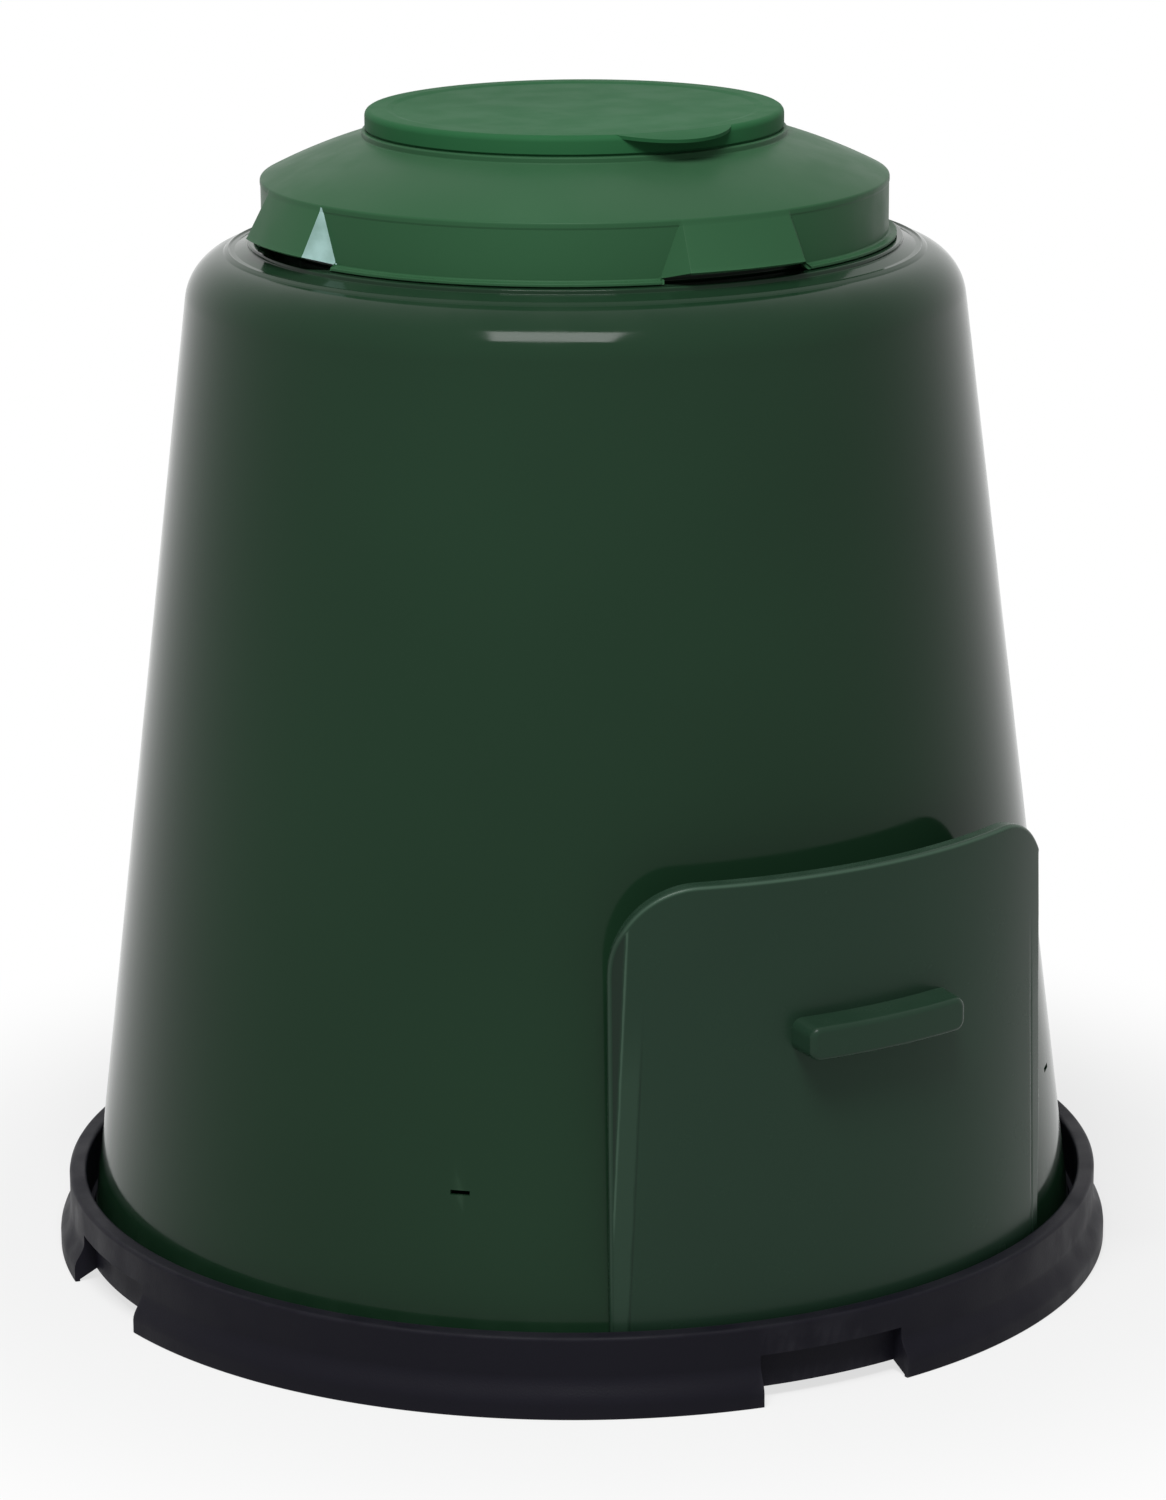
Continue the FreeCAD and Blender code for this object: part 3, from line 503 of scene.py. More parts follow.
def seen_directly(nodes, links):
    """1 for rays from the camera, and for mirror and glass rays, which show the same backdrop."""
    rays = nodes.new("ShaderNodeLightPath").outputs
    seen = combined(nodes, links, "MAXIMUM", rays["Is Camera Ray"], rays["Is Glossy Ray"])
    return combined(nodes, links, "MAXIMUM", seen, rays["Is Transmission Ray"])


def toward(azimuth):
    """Level direction at an azimuth, where 0 is on the camera's side of the bin and 90 on its right."""
    turn = CAMERA_TURN + math.radians(azimuth)
    return (math.sin(turn), -math.cos(turn), 0.0)


def make_floor():
    """Plain pale floor that keeps the bin's soft shadow and fades to white away from it."""
    ring = bmesh.new()
    bmesh.ops.create_circle(ring, cap_ends=True, segments=FLOOR_SIDES, radius=FLOOR_RADIUS)
    mesh = bpy.data.meshes.new("studio_floor")
    ring.to_mesh(mesh)
    ring.free()
    floor = bpy.data.objects.new("studio_floor", mesh)
    bpy.context.scene.collection.objects.link(floor)
    material = bpy.data.materials.new("studio_floor")
    material.use_nodes = True
    mesh.materials.append(material)
    nodes, links = material.node_tree.nodes, material.node_tree.links
    shader = nodes["Principled BSDF"]
    shader.inputs["Base Color"].default_value = FLOOR_COLOUR
    shader.inputs["Roughness"].default_value = FLOOR_ROUGHNESS
    shader.inputs["Specular IOR Level"].default_value = FLOOR_GLOSS
    white = nodes.new("ShaderNodeEmission")
    spot = nodes.new("ShaderNodeTexCoord")
    distance = nodes.new("ShaderNodeVectorMath")
    distance.operation = "LENGTH"
    links.new(spot.outputs["Object"], distance.inputs[0])
    fade = ramp(nodes, links, distance.outputs["Value"], FADE_START, FADE_END, FLOOR_GLOW, 1.0)
    share = combined(nodes, links, "MULTIPLY", fade, seen_directly(nodes, links))
    mix = nodes.new("ShaderNodeMixShader")
    links.new(share, mix.inputs["Fac"])
    links.new(shader.outputs["BSDF"], mix.inputs[1])
    links.new(white.outputs["Emission"], mix.inputs[2])
    links.new(mix.outputs["Shader"], nodes["Material Output"].inputs["Surface"])


def make_world():
    """White backdrop all round, which gloss shows too, and a soft even room light."""
    world = bpy.data.worlds.new("studio")
    bpy.context.scene.world = world
    world.use_nodes = True
    nodes, links = world.node_tree.nodes, world.node_tree.links
    background = nodes["Background"]
    background.inputs["Color"].default_value = (1.0, 1.0, 1.0, 1.0)
    mix = nodes.new("ShaderNodeMix")
    mix.inputs["A"].default_value = ROOM_LEVEL
    mix.inputs["B"].default_value = 1.0
    links.new(seen_directly(nodes, links), mix.inputs["Factor"])
    links.new(mix.outputs["Result"], background.inputs["Strength"])


def make_softbox(name, azimuth, elevation, distance, width, tall, radiance):
    """Area light that faces the bin. Its power follows from how bright its face is."""
    data = bpy.data.lights.new(name, "AREA")
    data.shape = "RECTANGLE"
    data.size = width
    data.size_y = tall
    data.energy = radiance * math.pi * width * tall
    lamp = bpy.data.objects.new(name, data)
    outward = Vector(toward(azimuth)) * math.cos(math.radians(elevation))
    outward.z = math.sin(math.radians(elevation))
    lamp.location = LAMP_AIM + outward * distance
    lamp.rotation_euler = (LAMP_AIM - lamp.location).to_track_quat("-Z", "Y").to_euler()
    bpy.context.scene.collection.objects.link(lamp)


def new_group(name, inputs, outputs):
    """Empty shader node group with named values in and out."""
    group = bpy.data.node_groups.new(name, "ShaderNodeTree")
    for label, start in inputs:
        group.interface.new_socket(label, in_out="INPUT", socket_type="NodeSocketFloat").default_value = start
    for label in outputs:
        group.interface.new_socket(label, in_out="OUTPUT", socket_type="NodeSocketFloat")
    nodes = group.nodes
    return group, nodes, group.links, nodes.new("NodeGroupInput"), nodes.new("NodeGroupOutput")


def make_skin_group():
    """Moulded skin: fine grain, slow waviness of the wall and slow changes of tone and polish."""
    inputs = (("Grain Size", 900.0), ("Wave Size", 9.0), ("Grain Share", 0.5))
    group, nodes, links, given, result = new_group("moulded_skin", inputs, ("Height", "Tone", "Haze"))
    spot = nodes.new("ShaderNodeTexCoord")

    def noise(scale, detail):
        texture = nodes.new("ShaderNodeTexNoise")
        texture.inputs["Detail"].default_value = detail
        links.new(spot.outputs["Object"], texture.inputs["Vector"])
        if isinstance(scale, str):
            links.new(given.outputs[scale], texture.inputs["Scale"])
        else:
            texture.inputs["Scale"].default_value = scale
        return texture.outputs["Fac"]

    mix = nodes.new("ShaderNodeMix")
    links.new(given.outputs["Grain Share"], mix.inputs["Factor"])
    links.new(noise("Wave Size", 1.0), mix.inputs["A"])
    links.new(noise("Grain Size", 3.0), mix.inputs["B"])
    links.new(mix.outputs["Result"], result.inputs["Height"])
    links.new(noise(3.0, 2.0), result.inputs["Tone"])
    links.new(noise(28.0, 6.0), result.inputs["Haze"])
    return group


def make_edge_wear_and_highlight_group():
    """Paler plastic along the outer edges, broken up by noise: partly handling wear, partly a painted edge
    highlight.
    """
    inputs = (("Start", 0.515), ("Full", 0.56), ("Patch Size", 45.0))
    group, nodes, links, given, result = new_group("edge_wear_and_highlight", inputs, ("Mask",))
    shape = nodes.new("ShaderNodeNewGeometry")
    spot = nodes.new("ShaderNodeTexCoord")
    edge = nodes.new("ShaderNodeMapRange")
    links.new(shape.outputs["Pointiness"], edge.inputs["Value"])
    links.new(given.outputs["Start"], edge.inputs["From Min"])
    links.new(given.outputs["Full"], edge.inputs["From Max"])
    patch = nodes.new("ShaderNodeTexNoise")
    patch.inputs["Detail"].default_value = 5.0
    links.new(spot.outputs["Object"], patch.inputs["Vector"])
    links.new(given.outputs["Patch Size"], patch.inputs["Scale"])
    broken = ramp(nodes, links, patch.outputs["Fac"], 0.35, 0.65)
    links.new(combined(nodes, links, "MULTIPLY", edge.outputs["Result"], broken), result.inputs["Mask"])
    return group


def make_dust_and_top_light_group():
    """Fine dust that settles on what faces up, thicker in patches; the paler tops also stand in for painted top
    light.
    """
    inputs = (("Patch Size", 14.0), ("Cover", 0.5))
    group, nodes, links, given, result = new_group("dust_and_top_light", inputs, ("Mask",))
    shape = nodes.new("ShaderNodeNewGeometry")
    facing = nodes.new("ShaderNodeSeparateXYZ")
    links.new(shape.outputs["Normal"], facing.inputs["Vector"])
    spot = nodes.new("ShaderNodeTexCoord")
    patch = nodes.new("ShaderNodeTexNoise")
    patch.inputs["Detail"].default_value = 8.0
    links.new(spot.outputs["Object"], patch.inputs["Vector"])
    links.new(given.outputs["Patch Size"], patch.inputs["Scale"])
    upward = ramp(nodes, links, facing.outputs["Z"], 0.55, 1.0)
    speckle = ramp(nodes, links, patch.outputs["Fac"], 0.30, 0.75)
    lying = combined(nodes, links, "MULTIPLY", upward, speckle)
    links.new(combined(nodes, links, "MULTIPLY", lying, given.outputs["Cover"]), result.inputs["Mask"])
    return group


SKIN = make_skin_group()
EDGE_WEAR_AND_HIGHLIGHT = make_edge_wear_and_highlight_group()
DUST_TOP_LIGHT_GROUP = make_dust_and_top_light_group()


def place_group(nodes, group, **values):
    """A group in a material, with its own values. A double name such as Grain Size is given as Grain_Size."""
    node = nodes.new("ShaderNodeGroup")
    node.node_tree = group
    for label, number in values.items():
        node.inputs[label.replace("_", " ")].default_value = number
    return node


def tinted(nodes, links, colour, mask, tint):
    """Colour that turns to the tint where the mask says."""
    mix = nodes.new("ShaderNodeMix")
    mix.data_type = "RGBA"
    links.new(mask, mix.inputs["Factor"])
    links.new(colour, mix.inputs[COLOUR_A])
    mix.inputs[COLOUR_B].default_value = (*tint, 1.0)
    return mix.outputs[COLOUR_RESULT]


def plastic(name, colour, rough, rough_spread, bump, level, grain, dust_top_light, edge_pale=0.35, tone=0.10,
            painted_facet_reflection=False, painted_lines=False):
    """Moulded plastic. Grain is (size, share) and the other values say how far each effect goes."""
    material = bpy.data.materials.new(name)
    material.use_nodes = True
    nodes, links = material.node_tree.nodes, material.node_tree.links
    shader = nodes["Principled BSDF"]
    shader.inputs["Specular IOR Level"].default_value = level
    skin = place_group(nodes, SKIN, Grain_Size=grain[0], Grain_Share=grain[1])
    pale_edge_node = place_group(nodes, EDGE_WEAR_AND_HIGHLIGHT)
    dust_top_node = place_group(nodes, DUST_TOP_LIGHT_GROUP, Cover=dust_top_light)
    shade = nodes.new("ShaderNodeVectorMath")
    shade.operation = "SCALE"
    shade.inputs[0].default_value = colour
    links.new(ramp(nodes, links, skin.outputs["Tone"], 0.2, 0.8, 1.0 - tone, 1.0 + tone), shade.inputs["Scale"])
    pale = tuple(min(1.0, 1.8 * part + 0.02) for part in colour)
    # Paler edges: partly handling wear, partly a painted edge highlight.
    pale_edge_share = combined(nodes, links, "MULTIPLY", pale_edge_node.outputs["Mask"], edge_pale)
    surface = tinted(nodes, links, shade.outputs["Vector"], pale_edge_share, pale)
    # Pale dust on what faces up, also standing in for painted top light.
    surface = tinted(nodes, links, surface, dust_top_node.outputs["Mask"], DUST_AND_TOP_LIGHT)
    # Painted highlights and painted shade on the hatch, read from its vertex marks.
    if painted_lines:
        marked = nodes.new("ShaderNodeAttribute")
        marked.attribute_name = "painted_lines"
        painted_highlight_mask = ramp(nodes, links, marked.outputs["Fac"], 0.0, 1.0)
        painted_shade_mask = ramp(nodes, links, marked.outputs["Fac"], 0.0, -1.0)
        surface = tinted(nodes, links, surface, painted_highlight_mask, pale)
        surface = tinted(nodes, links, surface, painted_shade_mask, GROOVE_SHADE_COLOUR)
    # Painted reflection: a pale mottled patch on one vent facet stands in for the softbox's reflection.
    if painted_facet_reflection:
        marked = nodes.new("ShaderNodeAttribute")
        marked.attribute_name = "painted_facet_reflection"
        mottle = ramp(nodes, links, skin.outputs["Haze"], 0.3, 0.6, 0.55, 1.0)
        reflection_patch = combined(nodes, links, "MULTIPLY", marked.outputs["Fac"], mottle)
        surface = tinted(nodes, links, surface, reflection_patch, FACET_REFLECTION_TINT)
    links.new(surface, shader.inputs["Base Color"])
    polish = ramp(nodes, links, skin.outputs["Haze"], 0.3, 0.7, rough - rough_spread, rough + rough_spread)
    dulled = combined(nodes, links, "MULTIPLY", dust_top_node.outputs["Mask"], 0.6)
    rougher = combined(nodes, links, "ADD", polish, dulled)
    links.new(rougher, shader.inputs["Roughness"])
    relief = nodes.new("ShaderNodeBump")
    relief.inputs["Strength"].default_value = bump
    relief.inputs["Distance"].default_value = 0.001
    links.new(skin.outputs["Height"], relief.inputs["Height"])
    links.new(relief.outputs["Normal"], shader.inputs["Normal"])
    return material


def cone_radius(height, inset=0.0):
    """Radius of the body's cone at a height."""
    return FOOT_RADIUS - (height - FLOOR_TOP) * TAPER - inset


def slope_height(radius):
    """Height of the body's sloping shoulder at a radius."""
    return SHOULDER[1] + (SHOULDER[0] - radius) * SLOPE


def level_point(across, along, level):
    """Outline in the level plane, pressed upward."""
    return Vector((across, along, level))


def outward_point(across, up, level):
    """Outline seen from the hatch side, pressed outward."""
    return Vector((level, across, up))


def make_base_tray():
    """Hollow rim with an S-shaped foot, four hand notches, a slotted floor and three ring ribs."""
    swing = (BASE_RADIUS - RIM_RADIUS) / 2
    flare = [
        (RIM_RADIUS + swing * (1.0 + math.cos(math.pi * step / FLARE_STEPS)),
         FLARE_BOTTOM + (FLARE_TOP - FLARE_BOTTOM) * step / FLARE_STEPS)
        for step in range(FLARE_STEPS + 1)
    ]
    inner_wall = RIM_INNER + BASE_WALL
    section = rounded([
        (0.0, FLOOR_BOTTOM),
        (inner_wall, FLOOR_BOTTOM),
        (inner_wall, RIM_TOP - BASE_WALL),
        (RIM_RADIUS - BASE_WALL, RIM_TOP - BASE_WALL),
        (RIM_RADIUS - BASE_WALL, FLARE_TOP),
        (BASE_RADIUS - BASE_WALL, FLARE_BOTTOM),
        (BASE_RADIUS - BASE_WALL, 0.0),
        (BASE_RADIUS, 0.0, 1.0),
        *flare,
        (RIM_RADIUS, RIM_TOP, 3.0),
        (RIM_INNER, RIM_TOP, 3.0),
        (RIM_INNER, LEDGE_TOP, 1.0),
        (RIM_INNER - LEDGE_WIDTH, LEDGE_TOP, 1.0),
        (RIM_INNER - LEDGE_WIDTH, FLOOR_TOP, 1.0),
        (0.0, FLOOR_TOP),
    ])
    tray = as_object("base_tray_moulding", [turned(section)])
    quarters = [NOTCH_TURN + 90.0 * number for number in range(4)]
    half = BASE_WALL / 2
    solid = [
        (RIM_INNER + half, FLOOR_BOTTOM),
        (BASE_RADIUS - half, 0.5),
        (BASE_RADIUS - half, FLARE_BOTTOM),
        (RIM_RADIUS - half, FLARE_TOP),
        (RIM_RADIUS - half, RIM_TOP - half),
        (RIM_INNER + half, RIM_TOP - half),
    ]
    solid_sweep = arc_angle(NOTCH_WIDTH + 2 * WEB, BASE_RADIUS)
    carve(tray, [copies(turned(solid, -solid_sweep / 2, solid_sweep), quarters)], "UNION")
    notch = [
        (inner_wall, -CUT_PAST),
        (BASE_RADIUS + CUT_PAST, -CUT_PAST),
        (BASE_RADIUS + CUT_PAST, NOTCH_HEIGHT),
        (inner_wall, NOTCH_HEIGHT),
    ]
    notch_sweep = arc_angle(NOTCH_WIDTH, BASE_RADIUS)
    tools = [copies(turned(notch, -notch_sweep / 2, notch_sweep), quarters)]
    ribs = []
    for start, count in SLOT_RINGS:
        end = start + SLOT_LENGTH
        side = SLOT_WIDTH / 2
        ends = ((start, -side), (end, -side), (end, side), (start, side))
        slot = rounded([(*spot, SLOT_ROUNDING) for spot in ends])
        turns = [360.0 * number / count for number in range(count)]
        tools.append(copies(pressed(slot, FLOOR_BOTTOM - CUT_PAST, FLOOR_TOP + CUT_PAST, level_point), turns))
        rib = end + SLOT_WIDTH
        middle = (FLOOR_BOTTOM + FLOOR_TOP) / 2
        ribs.append(turned([(rib, 0.0), (rib + RIB_WIDTH, 0.0), (rib + RIB_WIDTH, middle), (rib, middle)]))
    carve(tray, tools)
    carve(tray, ribs, "UNION")
    return tray


def make_body_shell():
    """Conical shell with shoulder, bead, collar and neck, the hatch opening and its frame."""
    bead_in = BEAD_RADIUS - BEAD_WIDTH / 2
    bead_out = BEAD_RADIUS + BEAD_WIDTH / 2
    stretch = math.sqrt(1.0 + TAPER ** 2)
    across = BODY_WALL * stretch
    up = BODY_WALL * math.sqrt(1.0 + SLOPE ** 2)
    inset = (across - TAPER * up) / (1.0 - TAPER * SLOPE)
    inner_corner = (SHOULDER[0] - inset, SHOULDER[1] + inset * SLOPE - up)
    underside = COLLAR_TOP - BODY_WALL
    ledge_corner = inner_corner[0] - (underside - inner_corner[1]) / SLOPE
    flange = FOOT_RADIUS - BODY_WALL - FOOT_FLANGE
    section = divided(rounded([
        (FOOT_RADIUS, FLOOR_TOP),
        (*SHOULDER, SHOULDER_ROUNDING),
        (bead_out, slope_height(bead_out), 0.3),
        (bead_out - BEAD_FLANK, slope_height(bead_out) + BEAD_HEIGHT, 0.4),
        (bead_in + BEAD_FLANK, slope_height(bead_in) + BEAD_HEIGHT, 0.4),
        (bead_in, slope_height(bead_in), 0.3),
        (GROOVE_RADIUS, slope_height(GROOVE_RADIUS) - GROOVE_DEPTH, 1.5),
        (COLLAR_RADIUS, COLLAR_FOOT, 0.8),
        (COLLAR_RADIUS, COLLAR_TOP, 1.3),
        (NECK_RADIUS, COLLAR_TOP, 1.5),
        (NECK_RADIUS, NECK_TOP, 1.2),
        (NECK_RADIUS - BODY_WALL, NECK_TOP, 1.2),
        (NECK_RADIUS - BODY_WALL, underside),
        (ledge_corner, underside),
        (*inner_corner, SHOULDER_ROUNDING - BODY_WALL),
        (cone_radius(FLOOR_TOP + BODY_WALL, across), FLOOR_TOP + BODY_WALL),
        (flange, FLOOR_TOP + BODY_WALL),
        (flange, FLOOR_TOP),
    ]))
    shell = as_object("body_moulding", [turned(section)])
    sunk = BODY_WALL / 2
    half = arc_angle(FRAME_HALF, FRAME_RADIUS)
    band = [
        (cone_radius(FRAME_BOTTOM, sunk), FRAME_BOTTOM),
        (FRAME_RADIUS, FRAME_BOTTOM),
        (FRAME_RADIUS, FRAME_TOP),
        (cone_radius(FRAME_TOP, sunk), FRAME_TOP),
    ]
    carve(shell, [turned(band, -half, 2 * half)], "UNION")
    lip_half = arc_angle(FRAME_HALF + LIP_WIDTH, FRAME_RADIUS)
    lips = [
        (FRAME_RADIUS - LIP_THICKNESS, FRAME_BOTTOM),
        (FRAME_RADIUS, FRAME_BOTTOM),
        (FRAME_RADIUS, FRAME_TOP),
        (FRAME_RADIUS - LIP_THICKNESS, FRAME_TOP),
    ]
    carve(shell, [turned(lips, -lip_half, 2 * lip_half)], "UNION")
    lintel = FRAME_TOP - FRAME_WALL
    inside_half = arc_angle(FRAME_HALF - FRAME_WALL, FRAME_RADIUS)
    inside = [
        (cone_radius(FRAME_BOTTOM - CUT_PAST), FRAME_BOTTOM - CUT_PAST),
        (FRAME_RADIUS + CUT_PAST, FRAME_BOTTOM - CUT_PAST),
        (FRAME_RADIUS + CUT_PAST, lintel),
        (cone_radius(lintel), lintel),
    ]
    carve(shell, [turned(inside, -inside_half, 2 * inside_half)])
    opening = rounded([
        (-OPENING_HALF, OPENING_BOTTOM, OPENING_ROUNDING),
        (OPENING_HALF, OPENING_BOTTOM, OPENING_ROUNDING),
        (OPENING_HALF, OPENING_TOP, OPENING_ROUNDING),
        (-OPENING_HALF, OPENING_TOP, OPENING_ROUNDING),
    ])
    slot_radius = cone_radius(AIR_SLOT_LEVEL)
    slot_half = arc_angle(AIR_SLOT[0] / 2, slot_radius)
    slot = [
        (slot_radius - 2 * BODY_WALL, AIR_SLOT_LEVEL - AIR_SLOT[1] / 2),
        (slot_radius + BODY_WALL, AIR_SLOT_LEVEL - AIR_SLOT[1] / 2),
        (slot_radius + BODY_WALL, AIR_SLOT_LEVEL + AIR_SLOT[1] / 2),
        (slot_radius - 2 * BODY_WALL, AIR_SLOT_LEVEL + AIR_SLOT[1] / 2),
    ]
    turns = [AIR_SLOT_TURN + 90.0 * number for number in range(4)]
    slots = copies(turned(slot, -slot_half, 2 * slot_half), turns)
    carve(shell, [pressed(opening, FRAME_RADIUS / 2, FRAME_RADIUS + 5.0, outward_point), slots])
    return shell


def crease_offset(height):
    """How far in from the hatch's side its flat-cut margin reaches at a height."""
    return max(0.0, (height - MARGIN_START) * MARGIN_SLOPE)


def hatch_face(along, height):
    """Radius of the hatch's face, with a flat-cut margin and a shallow lined border on each side."""
    edge = HATCH_HALF / HATCH_RADIUS
    angle = abs(along) / HATCH_RADIUS
    tangent = Vector((-math.sin(edge), math.cos(edge), 0.0))
    radial = Vector((math.cos(edge), math.sin(edge), 0.0))
    start = radial * HATCH_RADIUS + Vector((0.0, 0.0, MARGIN_START))
    across = tangent * math.cos(MARGIN_LEAN) - radial * math.sin(MARGIN_LEAN)
    normal = across.cross(Vector((0.0, 0.0, 1.0)) - tangent * MARGIN_SLOPE)
    if normal.dot(radial) < 0.0:
        normal = -normal
    flat = (normal.dot(start) - normal.z * height) / (normal.x * math.cos(angle) + normal.y * math.sin(angle))
    inward = HATCH_HALF - abs(along) - crease_offset(height)
    border = BORDER_TILT * max(0.0, BORDER - inward)
    fade = min(1.0, max(0.0, (BORDER_END - height) / BORDER_FADE))
    groove = BORDER_GROOVE * fade * math.exp(-(((inward - BORDER) / BORDER_GROOVE_WIDTH) ** 2))
    round_face = HATCH_RADIUS - min(border, BORDER_TILT * BORDER) * fade - groove
    gap = abs(round_face - flat)
    blend = max(0.0, CREASE_SOFTNESS - gap) ** 2 / (4 * CREASE_SOFTNESS)
    return min(round_face, flat) - blend


def hatch_line(along, height):
    """Painted highlight (up to 1) along the left margin's crease and a pale painted band in the left border;
    painted shade (down to -1) in the border's groove and on the left margin.
    """
    inward = HATCH_HALF - abs(along) - crease_offset(height)
    start = min(1.0, max(0.0, (height - CREASE_PAINT_START) / CREASE_PAINT_FADE))
    fade = min(1.0, max(0.0, (BORDER_END - height) / BORDER_FADE))
    pale = start * math.exp(-((inward / CREASE_HIGHLIGHT_WIDTH) ** 2)) if along < 0.0 else 0.0
    band = BORDER_LIGHT_LEVEL * fade if 0.0 < inward < BORDER - 1.0 and along < 0.0 else 0.0
    groove_shade = GROOVE_SHADE_LEVEL * fade * math.exp(-(((inward - BORDER) / GROOVE_SHADE_WIDTH) ** 2))
    dark = MARGIN_DARK * start if inward < -MARGIN_DARK_START and along < 0.0 else 0.0
    return max(pale, band) - groove_shade - dark


def hatch_rear(height):
    """Radius that the hatch's returned edge reaches back to: its rear, or just clear of the body."""
    return max(HATCH_REAR, cone_radius(height) + BODY_CLEARANCE)


def make_hatch():
    """Curved upright hatch: face, rounded edge, returned edge, hooks and handle."""
    half = HATCH_HALF - HATCH_EDGE
    corner = HATCH_CORNER - HATCH_EDGE
    top = HATCH_TOP - HATCH_EDGE
    straight = half - corner
    across = {straight + corner * math.sin(math.radians(step * HATCH_CORNER_STEP))
              for step in range(HATCH_CORNER_COUNT)}
    across |= {half - HATCH_FINE_STEP * step for step in range(HATCH_FINE_COUNT)}
    across |= {straight - HATCH_WIDE_STEP * step for step in range(int(straight / HATCH_WIDE_STEP) + 1)}
    across |= {0.0, half}
    kept = []
    for value in sorted(across):
        if value <= half and (not kept or value - kept[-1] > HATCH_LEAST_STEP):
            kept.append(value)
    kept[-1] = half
    columns = [-value for value in reversed(kept) if value > 0.0] + kept

    def column_top(along):
        beyond = max(0.0, abs(along) - straight)
        return top - corner + math.sqrt(max(0.0, corner ** 2 - beyond ** 2))

    def spot(along, height, radius):
        return place(radius, arc_angle(along, HATCH_RADIUS), height)

    sheet = bmesh.new()
    # Marks for painted light and shade on the hatch's face.
    painted_lines = sheet.verts.layers.float.new("painted_lines")
    grid = []
    for along in columns:
        rise = column_top(along) - LEDGE_TOP
        line = []
        for row in range(HATCH_ROWS + 1):
            height = LEDGE_TOP + rise * row / HATCH_ROWS
            vertex = sheet.verts.new(spot(along, height, hatch_face(along, height)))
            vertex[painted_lines] = hatch_line(along, height)
            line.append((vertex, along, height))
        grid.append(line)
    for left, right in zip(grid, grid[1:]):
        for row in range(HATCH_ROWS):
            sheet.faces.new((left[row][0], right[row][0], right[row + 1][0], left[row + 1][0]))

    border = [(*item, (-1.0, 0.0)) for item in grid[0][:-1]]
    for column in grid:
        vertex, along, height = column[-1]
        beyond = math.copysign(max(0.0, abs(along) - straight), along)
        rise = height - (top - corner)
        length = math.hypot(beyond, rise)
        border.append((vertex, along, height, (beyond / length, rise / length)))
    border += [(*item, (1.0, 0.0)) for item in reversed(grid[-1][:-1])]

    steps = HATCH_EDGE_STEPS
    previous = [item[0] for item in border]
    for step in range(1, steps + 2):
        turn = math.radians(90.0 * min(step, steps) / steps)
        loop = []
        for _, along, height, outward in border:
            moved = HATCH_EDGE * math.sin(turn)
            side, level = along + outward[0] * moved, height + outward[1] * moved
            radius = hatch_face(along, height) - HATCH_EDGE * (1.0 - math.cos(turn))
            radius = max(radius, hatch_rear(level) + 0.15 * (steps + 1 - step))
            if step > steps:
                radius = hatch_rear(level)
            vertex = sheet.verts.new(spot(side, level, radius))
            # Painted highlight along the hatch's top and left rounded edge.
            vertex[painted_lines] = max(0.0, outward[1], -0.4 * outward[0]) * (0.9 if step in (2, 3) else 0.25)
            loop.append(vertex)
        for index in range(len(loop) - 1):
            sheet.faces.new((previous[index + 1], previous[index], loop[index], loop[index + 1]))
        previous = loop
    bmesh.ops.recalc_face_normals(sheet, faces=sheet.faces)
    face_up(sheet)
    hatch = thickened(as_object("hatch_moulding", [sheet]), HATCH_SKIN)

    inner = arc_angle(FRAME_HALF + HOOK_GAP, FRAME_RADIUS)
    outer = arc_angle(HATCH_HALF - HATCH_SKIN / 2, HATCH_RADIUS)
    hook = rounded([
        (HATCH_REAR - HOOK_DEPTH, HOOK_BOTTOM, 1.0),
        (HATCH_REAR + HATCH_SKIN / 2, HOOK_BOTTOM),
        (HATCH_REAR + HATCH_SKIN / 2, HOOK_TOP),
        (HATCH_REAR - HOOK_DEPTH, HOOK_TOP, 1.0),
    ])
    lumps = [turned(hook, inner, outer - inner), turned(hook, -outer, outer - inner), handle_lump()]
    extra = as_object("hatch_extras", lumps)
    return with_extra(hatch, extra)


def face_up(sheet):
    """Turn the whole sheet's faces outward, away from the bin's axis or upward."""
    total = sum(
        (face.normal.dot(Vector((*face.calc_center_median().xy, 0.0)).normalized()) + face.normal.z)
        * face.calc_area() for face in sheet.faces
    )
    if total < 0.0:
        bmesh.ops.reverse_faces(sheet, faces=sheet.faces)


